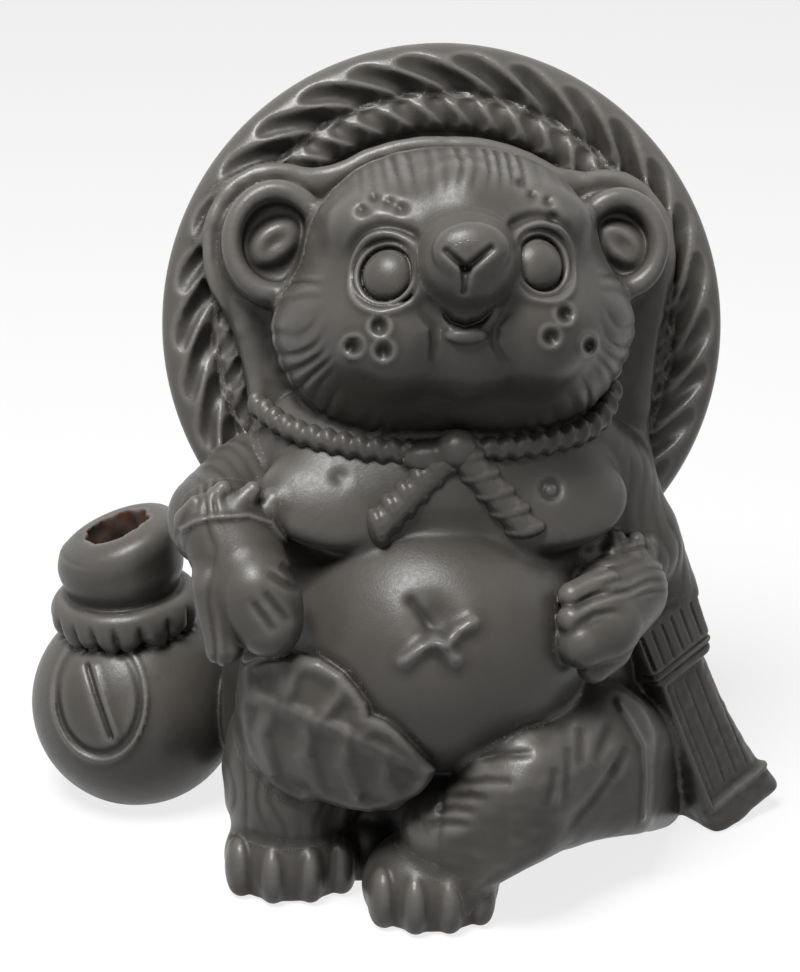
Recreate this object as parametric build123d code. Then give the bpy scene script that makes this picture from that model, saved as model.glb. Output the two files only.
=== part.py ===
from build123d import *
import os
from math import cos, radians, sin, sqrt

# Driving dimensions in millimetres and degrees.
# The figure sits on z = 0 and looks along -Y. Its own right side is at -X.

# Clay walls
WALL = 5.0
FLOOR_THICKNESS = 6.0
POUR_HOLE_RADIUS = 8.0
POUR_HOLE_BACK = 16.0

# Torso sections from the ground up: height, half width, half depth, middle along Y
SEAT_HALF_WIDTH = 50.0
SEAT_HALF_DEPTH = 31.0
SEAT_MIDDLE = 3.0
HAUNCH_HEIGHT = 24.0
HAUNCH_HALF_WIDTH = 56.0
HAUNCH_HALF_DEPTH = 37.0
HAUNCH_MIDDLE = 0.0
WAIST_HEIGHT = 52.0
WAIST_HALF_WIDTH = 55.0
WAIST_HALF_DEPTH = 38.0
WAIST_MIDDLE = -3.0
RIB_HEIGHT = 76.0
RIB_HALF_WIDTH = 52.0
RIB_HALF_DEPTH = 34.0
RIB_MIDDLE = -7.0
CHEST_HEIGHT = 96.0
CHEST_HALF_WIDTH = 48.0
CHEST_HALF_DEPTH = 29.0
CHEST_MIDDLE = -10.0
SHOULDER_HEIGHT = 110.0
SHOULDER_HALF_WIDTH = 46.0
SHOULDER_HALF_DEPTH = 25.0
SHOULDER_MIDDLE = -11.0
NECK_HEIGHT = 120.0
NECK_HALF_WIDTH = 39.0
NECK_HALF_DEPTH = 18.0
NECK_MIDDLE = -12.0
NECK_BORE_HALF_WIDTH = 20.0
NECK_BORE_HALF_DEPTH = 12.0
SEAM_BACK = -6.0

# Belly and the swellings of the chest
BELLY_HALF_WIDTH = 38.0
BELLY_HALF_DEPTH = 36.0
BELLY_HALF_HEIGHT = 34.0
BELLY_LEFT = -2.0
BELLY_SINK = 13.0
BELLY_HEIGHT = 64.0
BREAST_HALF_WIDTH = 17.0
BREAST_HALF_DEPTH = 13.0
BREAST_HALF_HEIGHT = 11.0
BREAST_SPREAD = 26.0
BREAST_SINK = 9.0
BREAST_HEIGHT = 106.0

# Head, which looks up at the pitch angle
HEAD_PITCH = 20.0
HEAD_LEFT = 3.0
HEAD_LIFT = 30.0
HEAD_HALF_WIDTH = 37.0
HEAD_HALF_HEIGHT = 32.0
HEAD_HALF_DEPTH = 36.0
JOWL_SPREAD = 18.0
JOWL_DROP = 11.0
JOWL_HALF_WIDTH = 26.0
JOWL_HALF_HEIGHT = 25.0
JOWL_HALF_DEPTH = 30.0
JAW_DROP = 12.0
JAW_HALF_WIDTH = 32.0
JAW_HALF_HEIGHT = 26.0
JAW_HALF_DEPTH = 27.0
CHEEK_SPREAD = 16.5
CHEEK_DROP = 13.0
CHEEK_OUT = 23.0
CHEEK_HALF_WIDTH = 12.5
CHEEK_HALF_HEIGHT = 11.0
CHEEK_HALF_DEPTH = 12.5
HALO_GAP = 4.4
HALO_SETBACK = 25.0

# Face
MUZZLE_HALF_WIDTH = 12.4
MUZZLE_HALF_HEIGHT = 10.8
MUZZLE_LENGTH = 13.8
MUZZLE_RISE = 3.2
MUZZLE_SINK = 2.0
NOSE_HALF_WIDTH = 8.8
NOSE_HALF_HEIGHT = 6.4
NOSE_HALF_DEPTH = 4.8
NOSE_RISE = 3.0
LIP_HALF_WIDTH = 5.4
LIP_HALF_HEIGHT = 2.4
LIP_HALF_DEPTH = 3.0
LIP_DROP = 14.2
EYE_SPREAD = 18.0
EYE_RISE = 1.0
EYE_SOCKET_RADIUS = 8.8
EYE_SOCKET_DEPTH = 3.0
EYELID_RADIUS = 7.2
EYELID_THICKNESS = 1.4
EYEBALL_RADIUS = 5.8
EYEBALL_BULGE = 3.0
EAR_RADIUS = 12.6
EAR_RIM = 3.0
EAR_SCOOP = 5.0
RIGHT_EAR_SPREAD = 41.8
LEFT_EAR_SPREAD = 39.6
RIGHT_EAR_RISE = 11.6
LEFT_EAR_RISE = 7.9

# Hat
HAT_RADIUS = 70.5
HAT_SETBACK = 30.0
HAT_DROP = 9.8
HAT_DEPTH = 12.0
HAT_THICKNESS = 8.0
HAT_EMBED = 6.4
RIM_ROLL_HALF_WIDTH = 6.4
RIM_ROLL_HALF_DEPTH = 6.0
RIM_ROLL_SETBACK = 2.0
INNER_BAND_HALF_WIDTH = 4.1
INNER_BAND_HALF_DEPTH = 4.0
LEAST_STRETCH_VOLUME = 100.0
STRAW_COUNT = 30
STRAW_HALF_LENGTH = 8.0
STRAW_HALF_WIDTH = 3.6
STRAW_DEPTH = 2.4
STRAW_SLANT = 48.0
STRAW_INSET = 1.5

# Rope under the chin
CORD_RADIUS = 3.2
CORD_HEIGHT = 115.0
CORD_END_RISE = 5.0
CORD_LIFT = 1.6
CORD_SPREAD_ANGLE = 84.0
KNOT_HALF_WIDTH = 6.5
KNOT_HALF_HEIGHT = 5.5
KNOT_LEFT = 2.0
CORD_TAIL_RADIUS = 4.2
CORD_TAIL_DROP = 17.0
CORD_TAIL_SPREAD = 18.0
CORD_TAIL_LIFT = 1.4

# Places round the torso: height, angle from the left side towards the back, distance out of the surface
RIGHT_SHOULDER = (97.0, 180.0, -2.0)
LEFT_SHOULDER = (97.0, 0.0, -7.0)
RIGHT_ELBOW = (95.0, 200.0, 11.0)
RIGHT_WRIST = (95.0, 209.0, 14.5)
RIGHT_KNUCKLES = (81.0, 226.0, 18.0)
LEFT_ELBOW = (80.0, -12.0, -5.0)
LEFT_WRIST = (75.0, -38.0, 3.0)
LEFT_KNUCKLES = (73.0, -55.0, 14.0)
RIGHT_LEG = (26.0, 226.0, 0.0)
LEFT_HIP = (20.0, -14.0, -8.0)
LEFT_KNEE = (33.0, -50.0, 3.0)
LEFT_ANKLE = (18.0, -85.0, 14.0)
LEDGER_PLACE = (34.0, -9.0, 8.0)
TAIL_ROOT = (14.0, 74.0, 0.0)
TAIL_TIP = (48.0, 80.0, 3.0)

# Arms
SHOULDER_BALL_RADIUS = 13.0
ELBOW_RADIUS = 12.5
PAW_RADIUS = 11.0
FINGER_RADIUS = 4.4
FINGER_LENGTH = 7.5
FINGER_PITCH = 6.0
FINGER_COUNT = 4

# Legs and feet
RIGHT_LEG_HALF_WIDTH = 17.0
RIGHT_LEG_HALF_DEPTH = 20.0
RIGHT_LEG_HALF_HEIGHT = 28.0
LEG_SIDE_SETBACK = 0.8
HIP_RADIUS = 22.0
KNEE_RADIUS = 17.5
ANKLE_RADIUS = 12.5
FOOT_HALF_WIDTH = 17.0
FOOT_HALF_LENGTH = 15.0
FOOT_HEIGHT = 20.0
FOOT_MIDDLE_HEIGHT = 7.0
RIGHT_FOOT_FRONT = 7.0
LEFT_FOOT_ACROSS = -8.0
TOE_RADIUS = 4.6
TOE_PITCH = 7.5
TOE_COUNT = 4

# Leaf, placed from the middle of the belly
LEAF_HALF_WIDTH = 44.0
LEAF_HALF_DEPTH = 44.0
LEAF_HALF_HEIGHT = 46.0
LEAF_BED = (-13.0, 8.0, -10.0)
LEAF_MIDDLE = (-27.0, 0.0, -14.0)
LEAF_TIP = (24.5, -7.5)
LEAF_EDGE = [(13.0, 7.0), (-7.0, 21.0), (-21.0, 13.0), (-21.0, -13.0), (3.0, -20.5)]
LEAF_BACK = 4.0

# Tail
TAIL_ROOT_RADIUS = 12.0
TAIL_TIP_RADIUS = 8.0

# Flask
FLASK_RADIUS = 28.0
FLASK_MIDDLE_HEIGHT = 25.0
FLASK_ANGLE = 166.0
FLASK_LEAN = 4.0
FLASK_SINK = 2.5
FLASK_WALL = 4.0
FLASK_NECK_RADIUS = 16.5
FLASK_NECK_HEIGHT = 29.0
FLASK_MOUTH_RADIUS = 8.4
FLASK_LIP_RADIUS = 5.0
FLASK_COLLAR_HALF_HEIGHT = 5.0
FLASK_COLLAR_BULGE = 3.0

# Ledger
LEDGER_TOP_WIDTH = 20.5
LEDGER_FOOT_WIDTH = 28.0
LEDGER_WAIST_SAG = 3.5
LEDGER_LENGTH = 66.0
LEDGER_THICKNESS = 20.0
LEDGER_ROUND = 3.0
LEDGER_TURN = 31.0
LEDGER_LEAN = 10.0
LEDGER_ROLL = 19.0
BAND_LENGTH = 18.0
BAND_BELOW_TOP = 2.0
BAND_THICKNESS = 1.6


def ellipsoid(half_x, half_y, half_z):
    return scale(Sphere(1), by=(half_x, half_y, half_z))


# A direction that no limb follows, for turning limbs about their length
SLANT = Vector(0.3, 0.5, 0.8)


# Two balls and the cone that wraps them
def limb(start, end, start_radius, end_radius):
    start = Vector(start)
    along = Vector(end) - start
    length = along.length
    slope = (start_radius - end_radius) / length
    level = sqrt(1 - slope * slope)
    half = sqrt((1 + slope) / 2)
    rest = sqrt((1 - slope) / 2)
    low = (start_radius * level, start_radius * slope)
    high = (end_radius * level, length + end_radius * slope)
    profile = make_face([
        ThreePointArc((0, -start_radius), (start_radius * half, -start_radius * rest), low),
        Line(low, high),
        ThreePointArc(high, (end_radius * rest, length + end_radius * half), (0, length + end_radius)),
        Line((0, length + end_radius), (0, -start_radius)),
    ])
    across = along.cross(SLANT)
    return Plane(origin=start, x_dir=across, z_dir=across.cross(along)) * revolve(profile, Axis.Y)


# A limb whose lower half drops straight to the ground, its sides set back a little
def draped_limb(start, end, start_radius, end_radius):
    start, along = Vector(start), Vector(end) - Vector(start)
    ends = [
        *(Pos(start.X, start.Y) * Circle(start_radius - LEG_SIDE_SETBACK)).edges(),
        *(Pos(end.X, end.Y) * Circle(end_radius - LEG_SIDE_SETBACK)).edges(),
    ]
    drop = extrude(make_hull(ends), amount=max(start.Z, end.Z) + start_radius)
    middle = Plane(origin=start, z_dir=along.cross(Vector(0, 0, 1)).cross(along))
    return limb(start, end, start_radius, end_radius) + split(drop, bisect_by=middle, keep=Keep.BOTTOM)


# The form cut where its hosts stand, so that it meets them face to face
def cut(form, *hosts):
    for host in hosts:
        form = form - host
    return form


# The largest solid that the cut leaves
def seat(form, *hosts):
    return Part() + max(cut(form, *hosts).solids(), key=lambda solid: solid.volume)


# Torso: an elliptical loft with the belly and the chest swellings, hollow, parted at a seam
TORSO_SECTIONS = [
    (0.0, SEAT_HALF_WIDTH, SEAT_HALF_DEPTH, SEAT_MIDDLE),
    (HAUNCH_HEIGHT, HAUNCH_HALF_WIDTH, HAUNCH_HALF_DEPTH, HAUNCH_MIDDLE),
    (WAIST_HEIGHT, WAIST_HALF_WIDTH, WAIST_HALF_DEPTH, WAIST_MIDDLE),
    (RIB_HEIGHT, RIB_HALF_WIDTH, RIB_HALF_DEPTH, RIB_MIDDLE),
    (CHEST_HEIGHT, CHEST_HALF_WIDTH, CHEST_HALF_DEPTH, CHEST_MIDDLE),
    (SHOULDER_HEIGHT, SHOULDER_HALF_WIDTH, SHOULDER_HALF_DEPTH, SHOULDER_MIDDLE),
    (NECK_HEIGHT, NECK_HALF_WIDTH, NECK_HALF_DEPTH, NECK_MIDDLE),
]


def torso_loft(sections):
    return loft([
        Plane(origin=(0, middle, height)) * Ellipse(half_width, half_depth)
        for height, half_width, half_depth, middle in sections
    ])


# The hollow follows the outside at the wall's thickness, up to the shoulders
HOLLOW_SECTIONS = [
    (height, half_width - WALL, half_depth - WALL, middle)
    for height, half_width, half_depth, middle in TORSO_SECTIONS[:-1]
]


# Half width, half depth and middle of the torso at a height
def torso_section(height):
    for lower, upper in zip(TORSO_SECTIONS, TORSO_SECTIONS[1:]):
        if height <= upper[0] or upper is TORSO_SECTIONS[-1]:
            share = (height - lower[0]) / (upper[0] - lower[0])
            return [a + share * (b - a) for a, b in zip(lower[1:], upper[1:])]


# A point that stands off the torso: the angle turns from +X towards the back
def off_torso(height, angle, distance):
    half_width, half_depth, middle = torso_section(height)
    across, along = cos(radians(angle)), sin(radians(angle))
    outward = Vector(across / half_width, along / half_depth, 0).normalized()
    return Vector(half_width * across, middle + half_depth * along, height) + outward * distance


belly_middle = Vector(BELLY_LEFT, WAIST_MIDDLE - WAIST_HALF_DEPTH + BELLY_SINK, BELLY_HEIGHT)


def belly(inset):
    form = ellipsoid(BELLY_HALF_WIDTH - inset, BELLY_HALF_DEPTH - inset, BELLY_HALF_HEIGHT - inset)
    return Pos(belly_middle) * form


def breast(side):
    chest = off_torso(BREAST_HEIGHT, -90, -BREAST_SINK)
    place = Pos(side * BREAST_SPREAD, chest.Y, chest.Z)
    return place * ellipsoid(BREAST_HALF_WIDTH, BREAST_HALF_DEPTH, BREAST_HALF_HEIGHT)


torso_form = torso_loft(TORSO_SECTIONS) + belly(0) + breast(-1) + breast(1)
body_hollow = torso_loft(HOLLOW_SECTIONS)
neck_section = Ellipse(NECK_BORE_HALF_WIDTH, NECK_BORE_HALF_DEPTH)
neck_bore = Pos(0, NECK_MIDDLE, SHOULDER_HEIGHT - WALL) * extrude(
    neck_section, amount=NECK_HEIGHT - SHOULDER_HEIGHT + 2 * WALL)
torso_hollow = body_hollow + belly(WALL) + neck_bore
torso_shell = torso_form - torso_hollow
seam = Plane(origin=(0, SEAM_BACK, 0), z_dir=(0, -1, 0))
pieces = {
    "torso_front_shell": split(torso_shell, bisect_by=seam, keep=Keep.TOP),
    "torso_back_shell": split(torso_shell, bisect_by=seam, keep=Keep.BOTTOM),
}
floor_top = Plane(origin=(0, 0, FLOOR_THICKNESS))
pour_hole = Pos(0, POUR_HOLE_BACK, 0) * Cylinder(POUR_HOLE_RADIUS, 4 * FLOOR_THICKNESS)
pieces["base_floor"] = split(body_hollow, bisect_by=floor_top, keep=Keep.BOTTOM) - pour_hole

# Head: its own frame has X to the figure's left, Y up the face and Z out of the face
pitch = radians(HEAD_PITCH)
head_middle = Vector(HEAD_LEFT, NECK_MIDDLE, NECK_HEIGHT + HEAD_LIFT)
head_place = Plane(origin=head_middle, x_dir=(1, 0, 0), z_dir=(0, -cos(pitch), sin(pitch))).location
hat_place = head_place * Pos(0, -HAT_DROP, -HAT_SETBACK)
hat_bed = -HAT_SETBACK - HAT_EMBED


# Both the head's ball and its hollow
def head_ball(inset):
    return ellipsoid(HEAD_HALF_WIDTH - inset, HEAD_HALF_HEIGHT - inset, HEAD_HALF_DEPTH - inset)


# The ball, the jowls and the jaw lie on one plane, which parts the face from the back of the head
jowl_ball = ellipsoid(JOWL_HALF_WIDTH, JOWL_HALF_HEIGHT, JOWL_HALF_DEPTH)
jaw_ball = ellipsoid(JAW_HALF_WIDTH, JAW_HALF_HEIGHT, JAW_HALF_DEPTH)
cheek_ball = ellipsoid(CHEEK_HALF_WIDTH, CHEEK_HALF_HEIGHT, CHEEK_HALF_DEPTH)
head_solid = head_ball(0) + Pos(0, -JAW_DROP, 0) * jaw_ball
head_outline = Ellipse(HEAD_HALF_WIDTH, HEAD_HALF_HEIGHT) + Pos(0, -JAW_DROP) * Ellipse(
    JAW_HALF_WIDTH, JAW_HALF_HEIGHT)
for side in (-1, 1):
    head_solid = head_solid + Pos(side * JOWL_SPREAD, -JOWL_DROP, 0) * jowl_ball
    head_solid = head_solid + Pos(side * CHEEK_SPREAD, -CHEEK_DROP, CHEEK_OUT) * cheek_ball
    head_outline = head_outline + Pos(side * JOWL_SPREAD, -JOWL_DROP) * Ellipse(
        JOWL_HALF_WIDTH, JOWL_HALF_HEIGHT)


def face_half(form):
    return split(form, bisect_by=Plane.XY, keep=Keep.TOP)


def run_back(outline, start):
    return Pos(0, 0, hat_bed) * extrude(outline, amount=start - hat_bed)


# How far the face stands out at a place on it
def face_depth(across, up):
    left = 1 - (across / HEAD_HALF_WIDTH) ** 2 - (up / HEAD_HALF_HEIGHT) ** 2
    return HEAD_HALF_DEPTH * sqrt(left)


# A plane that touches the face at a place on it
def on_face(across, up):
    depth = face_depth(across, up)
    out = Vector(across / HEAD_HALF_WIDTH ** 2, up / HEAD_HALF_HEIGHT ** 2, depth / HEAD_HALF_DEPTH ** 2)
    return Plane(origin=(across, up, depth), x_dir=(1, 0, 0), z_dir=out)


# Hat: a shallow cone, open to the front, with a roll and a band round it
dish_radius = HAT_RADIUS - RIM_ROLL_HALF_WIDTH
dish_profile = make_face(Polyline(
    (0, 0, -HAT_DEPTH), (dish_radius, 0, 0), (dish_radius, 0, -HAT_THICKNESS),
    (0, 0, -HAT_DEPTH - HAT_THICKNESS), close=True))
dish_form = hat_place * revolve(dish_profile, Axis.Z)


def hat_ring(radius, depth, half_width, half_depth):
    section = Plane.XZ * (Pos(radius, depth) * Ellipse(half_width, half_depth))
    return hat_place * revolve(section, Axis.Z)


band_radius = HAT_RADIUS - 2 * RIM_ROLL_HALF_WIDTH - INNER_BAND_HALF_WIDTH
band_depth = -HAT_DEPTH * (1 - band_radius / dish_radius)
roll_form = hat_ring(dish_radius, -RIM_ROLL_SETBACK, RIM_ROLL_HALF_WIDTH, RIM_ROLL_HALF_DEPTH)
band_form = hat_ring(band_radius, band_depth, INNER_BAND_HALF_WIDTH, INNER_BAND_HALF_DEPTH)
# Hollows pressed between the straws of the roll, each a ball with its poles at the ends of its length
straw_dent = scale(Rot(0, -90, 0) * Sphere(1), by=(STRAW_HALF_LENGTH, STRAW_HALF_WIDTH, STRAW_DEPTH))
roll_front = RIM_ROLL_HALF_DEPTH - RIM_ROLL_SETBACK
straw_dents = [
    hat_place * Rot(0, 0, number * 360 / STRAW_COUNT) * Pos(dish_radius - STRAW_INSET, 0, roll_front)
    * Rot(0, 0, STRAW_SLANT) * straw_dent for number in range(STRAW_COUNT)]

# Plate that stands round the head and the ears in front of the hat
ear_middles = {"right": (-RIGHT_EAR_SPREAD, RIGHT_EAR_RISE), "left": (LEFT_EAR_SPREAD, LEFT_EAR_RISE)}
halo_outline = Ellipse(HEAD_HALF_WIDTH + HALO_GAP, HEAD_HALF_HEIGHT + HALO_GAP)
for side in (-1, 1):
    halo_outline = halo_outline + Pos(side * JOWL_SPREAD, -JOWL_DROP) * Ellipse(
        JOWL_HALF_WIDTH + HALO_GAP, JOWL_HALF_HEIGHT + HALO_GAP)
for ear_middle in ear_middles.values():
    halo_outline = halo_outline + Pos(*ear_middle) * Circle(EAR_RADIUS + HALO_GAP)
eye_places = {
    name: head_place * on_face(across, EYE_RISE).location
    for name, across in (("right", -EYE_SPREAD), ("left", EYE_SPREAD))}
eye_socket = ellipsoid(EYE_SOCKET_RADIUS, EYE_SOCKET_RADIUS, EYE_SOCKET_DEPTH)
head_form = head_place * head_solid - [place * eye_socket for place in eye_places.values()]
collar_form = head_place * run_back(head_outline, 0)
halo_form = head_place * run_back(halo_outline, -HALO_SETBACK)
head_hollow = head_place * run_back(Ellipse(HEAD_HALF_WIDTH - WALL, HEAD_HALF_HEIGHT - WALL), 0)
head_seam = Plane(head_place)
face_form = split(head_form, bisect_by=head_seam, keep=Keep.TOP)

pieces["hat_dish"] = seat(dish_form, torso_form)
pieces["hat_rim_roll"] = cut(seat(roll_form, dish_form, torso_form), *straw_dents)
pieces["face_shell"] = seat(face_form, head_place * face_half(head_ball(WALL)), torso_form)
pieces["head_back_shell"] = seat(collar_form + halo_form, head_hollow, torso_form, dish_form, roll_form)

# Ears: cups that run back to the hat
ear_lip = EAR_RADIUS - EAR_RIM
ear_profile = make_face([
    Polyline((ear_lip, 0), (0, -EAR_SCOOP), (0, hat_bed), (EAR_RADIUS, hat_bed), (EAR_RADIUS, -EAR_RIM)),
    RadiusArc((EAR_RADIUS, -EAR_RIM), (ear_lip, 0), -EAR_RIM),
])
ear_cup = revolve(Plane.XZ * ear_profile, Axis.Z)
for name, ear_middle in ear_middles.items():
    ear_form = head_place * Pos(*ear_middle) * ear_cup
    pieces[f"ear_{name}"] = seat(ear_form, head_form, collar_form, halo_form, dish_form, roll_form)
band_stretches = cut(band_form, dish_form, roll_form, collar_form, halo_form, torso_form)
pieces["hat_inner_band"] = Part() + [
    stretch for stretch in band_stretches.solids() if stretch.volume > LEAST_STRETCH_VOLUME]

# Face: muzzle, nose, lip and eyes
muzzle_place = head_place * Pos(0, MUZZLE_RISE, HEAD_HALF_DEPTH - MUZZLE_SINK)
muzzle_form = muzzle_place * ellipsoid(MUZZLE_HALF_WIDTH, MUZZLE_HALF_HEIGHT, MUZZLE_LENGTH)
nose_reach = MUZZLE_LENGTH * sqrt(1 - (NOSE_RISE / MUZZLE_HALF_HEIGHT) ** 2)
nose_place = muzzle_place * Pos(0, NOSE_RISE, nose_reach - NOSE_HALF_DEPTH / 2)
nose_form = nose_place * ellipsoid(NOSE_HALF_WIDTH, NOSE_HALF_HEIGHT, NOSE_HALF_DEPTH)
lip_place = head_place * on_face(0, -LIP_DROP).location
lip_form = lip_place * ellipsoid(LIP_HALF_WIDTH, LIP_HALF_HEIGHT, LIP_HALF_DEPTH)
pieces["muzzle"] = seat(muzzle_form, head_form)
pieces["nose"] = seat(nose_form, muzzle_form, head_form)
pieces["lower_lip"] = seat(lip_form, head_form, muzzle_form)
for name, eye_place in eye_places.items():
    ring_form = eye_place * Pos(0, 0, -EYELID_THICKNESS / 2) * Torus(EYELID_RADIUS, EYELID_THICKNESS)
    ball_form = eye_place * Pos(0, 0, -EYE_SOCKET_DEPTH) * ellipsoid(
        EYEBALL_RADIUS, EYEBALL_RADIUS, EYE_SOCKET_DEPTH + EYEBALL_BULGE)
    pieces[f"eyelid_ring_{name}"] = seat(ring_form, head_form, muzzle_form)
    pieces[f"eyeball_{name}"] = seat(ball_form, head_form, ring_form, muzzle_form)

# Rope under the chin: a knot, two arcs that lie on the chest and two tails
head_hosts = [torso_form, head_form, collar_form]
knot_middle = Vector(KNOT_LEFT, off_torso(CORD_HEIGHT, -90, CORD_LIFT).Y, CORD_HEIGHT)
knot_form = Pos(knot_middle) * ellipsoid(KNOT_HALF_WIDTH, KNOT_HALF_HEIGHT, KNOT_HALF_HEIGHT)
pieces["cord_knot"] = seat(knot_form, *head_hosts)
for name, side in (("right", -1), ("left", 1)):
    # Half way along, a sagging rope has risen by a quarter
    halfway = off_torso(CORD_HEIGHT + CORD_END_RISE / 4, -90 + side * CORD_SPREAD_ANGLE / 2, CORD_LIFT)
    far_end = off_torso(CORD_HEIGHT + CORD_END_RISE, -90 + side * CORD_SPREAD_ANGLE, CORD_LIFT)
    route = ThreePointArc(knot_middle, halfway, far_end)
    tube = sweep((route ^ 0) * Circle(CORD_RADIUS), path=route)
    pieces[f"hat_cord_{name}"] = seat(tube, knot_form, *head_hosts)
    tail_end = off_torso(CORD_HEIGHT - CORD_TAIL_DROP, -90, CORD_TAIL_LIFT)
    tail_form = limb(
        knot_middle, (KNOT_LEFT + side * CORD_TAIL_SPREAD, tail_end.Y, tail_end.Z),
        CORD_TAIL_RADIUS, CORD_TAIL_RADIUS)
    tail_hosts = [knot_form, torso_form, pieces[f"hat_cord_{name}"]]
    if name == "left":
        tail_hosts.append(pieces["cord_tail_right"])
    pieces[f"cord_tail_{name}"] = seat(tail_form, *tail_hosts)


# Paw: a limb with a row of fingers at its end
def paw(wrist_place, knuckle_place):
    wrist, knuckles = off_torso(*wrist_place), off_torso(*knuckle_place)
    along = (knuckles - wrist).normalized()
    outward = (knuckles - off_torso(*knuckle_place[:2], 0)).normalized()
    across = along.cross(outward).normalized()
    form = limb(wrist, knuckles, PAW_RADIUS, PAW_RADIUS)
    for number in range(FINGER_COUNT):
        start = knuckles + across * FINGER_PITCH * (number - (FINGER_COUNT - 1) / 2)
        form = form + limb(start, start + along * FINGER_LENGTH, FINGER_RADIUS, FINGER_RADIUS)
    return form


# Arms
hat_hosts = [torso_form, dish_form, roll_form, pieces["hat_inner_band"]]
arm_forms, paw_forms = {}, {}
for name, shoulder, elbow, wrist, knuckles in (
        ("right", RIGHT_SHOULDER, RIGHT_ELBOW, RIGHT_WRIST, RIGHT_KNUCKLES),
        ("left", LEFT_SHOULDER, LEFT_ELBOW, LEFT_WRIST, LEFT_KNUCKLES)):
    arm_forms[name] = limb(off_torso(*shoulder), off_torso(*elbow), SHOULDER_BALL_RADIUS, ELBOW_RADIUS)
    paw_forms[name] = paw(wrist, knuckles)
    pieces[f"upper_arm_{name}"] = seat(arm_forms[name], *hat_hosts, collar_form)
    pieces[f"paw_{name}"] = seat(paw_forms[name], arm_forms[name], *hat_hosts)

# Legs and feet, flat on the ground
ground = Plane.XY
knee = off_torso(*LEFT_KNEE)
ankle = off_torso(*LEFT_ANKLE)
right_leg_middle = off_torso(*RIGHT_LEG)
leg_forms = {
    "right": Pos(right_leg_middle) * ellipsoid(
        RIGHT_LEG_HALF_WIDTH, RIGHT_LEG_HALF_DEPTH, RIGHT_LEG_HALF_HEIGHT),
    "left": draped_limb(off_torso(*LEFT_HIP), knee, HIP_RADIUS, KNEE_RADIUS) + draped_limb(
        knee, ankle, KNEE_RADIUS, ANKLE_RADIUS),
}


def foot(across, front):
    form = Pos(across, front, FOOT_MIDDLE_HEIGHT) * ellipsoid(
        FOOT_HALF_WIDTH, FOOT_HALF_LENGTH, FOOT_HEIGHT - FOOT_MIDDLE_HEIGHT)
    for number in range(TOE_COUNT):
        step = number - (TOE_COUNT - 1) / 2
        share = sqrt(1 - (step * TOE_PITCH / FOOT_HALF_WIDTH) ** 2)
        toe = Pos(across + step * TOE_PITCH, front - FOOT_HALF_LENGTH * share + TOE_RADIUS, TOE_RADIUS)
        form = form + toe * Sphere(TOE_RADIUS)
    return split(form, bisect_by=ground, keep=Keep.TOP)


foot_forms = {
    "right": foot(right_leg_middle.X, right_leg_middle.Y - RIGHT_FOOT_FRONT),
    "left": foot(ankle.X + LEFT_FOOT_ACROSS, ankle.Y),
}
for name in ("right", "left"):
    leg_forms[name] = split(leg_forms[name], bisect_by=ground, keep=Keep.TOP)
    pieces[f"leg_{name}"] = seat(leg_forms[name], torso_form)
pieces["foot_right"] = seat(foot_forms["right"], torso_form, leg_forms["right"])
pieces["foot_left"] = seat(foot_forms["left"], torso_form, leg_forms["left"], foot_forms["right"])

# Leaf: a swelling on the lap, cut to the leaf's outline
leaf_swelling = Pos(belly_middle + Vector(*LEAF_BED)) * ellipsoid(
    LEAF_HALF_WIDTH, LEAF_HALF_DEPTH, LEAF_HALF_HEIGHT)
leaf_middle = belly_middle + Vector(*LEAF_MIDDLE)
leaf_face = Plane(origin=leaf_middle + Vector(0, LEAF_BACK, 0), x_dir=(1, 0, 0), z_dir=(0, -1, 0))
leaf_outline = make_face(Spline(LEAF_TIP, *LEAF_EDGE, LEAF_TIP))
leaf_prism = extrude(leaf_face * leaf_outline, amount=2 * LEAF_HALF_DEPTH)
leg_hosts = [leg_forms["right"], leg_forms["left"], foot_forms["right"], foot_forms["left"]]
pieces["leaf"] = seat(leaf_prism & leaf_swelling, torso_form, paw_forms["right"], *leg_hosts)

# Tail at the back
tail_form = limb(off_torso(*TAIL_ROOT), off_torso(*TAIL_TIP), TAIL_ROOT_RADIUS, TAIL_TIP_RADIUS)
pieces["tail"] = seat(tail_form, torso_form)

# Flask: a hollow ball that stands on the ground, a neck with its mouth, and a tied collar
flask_middle = off_torso(FLASK_MIDDLE_HEIGHT, FLASK_ANGLE, FLASK_RADIUS - FLASK_SINK)
flask_place = Pos(flask_middle) * Rot(0, -FLASK_LEAN, 0)
neck_base = sqrt(FLASK_RADIUS ** 2 - FLASK_NECK_RADIUS ** 2)
neck_top = neck_base + FLASK_NECK_HEIGHT
flask_ball = split(Sphere(FLASK_RADIUS), bisect_by=Plane.XY.offset(neck_base), keep=Keep.BOTTOM)
flask_ball = split(flask_place * flask_ball, bisect_by=ground, keep=Keep.TOP)
flask_hollow = split(
    flask_place * Sphere(FLASK_RADIUS - FLASK_WALL), bisect_by=ground.offset(FLASK_WALL), keep=Keep.TOP)
flask_bore = flask_place * Pos(0, 0, neck_top / 2) * Cylinder(FLASK_MOUTH_RADIUS, neck_top)
neck_profile = make_face([
    Polyline(
        (FLASK_NECK_RADIUS - FLASK_LIP_RADIUS, neck_top), (0, neck_top), (0, neck_base),
        (FLASK_NECK_RADIUS, neck_base), (FLASK_NECK_RADIUS, neck_top - FLASK_LIP_RADIUS)),
    RadiusArc(
        (FLASK_NECK_RADIUS, neck_top - FLASK_LIP_RADIUS), (FLASK_NECK_RADIUS - FLASK_LIP_RADIUS, neck_top),
        -FLASK_LIP_RADIUS),
])
neck_form = flask_place * revolve(Plane.XZ * neck_profile, Axis.Z)
collar_ring = Plane.XZ * (Pos(FLASK_NECK_RADIUS, neck_base + FLASK_COLLAR_HALF_HEIGHT) * Ellipse(
    FLASK_COLLAR_BULGE, FLASK_COLLAR_HALF_HEIGHT))
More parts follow.
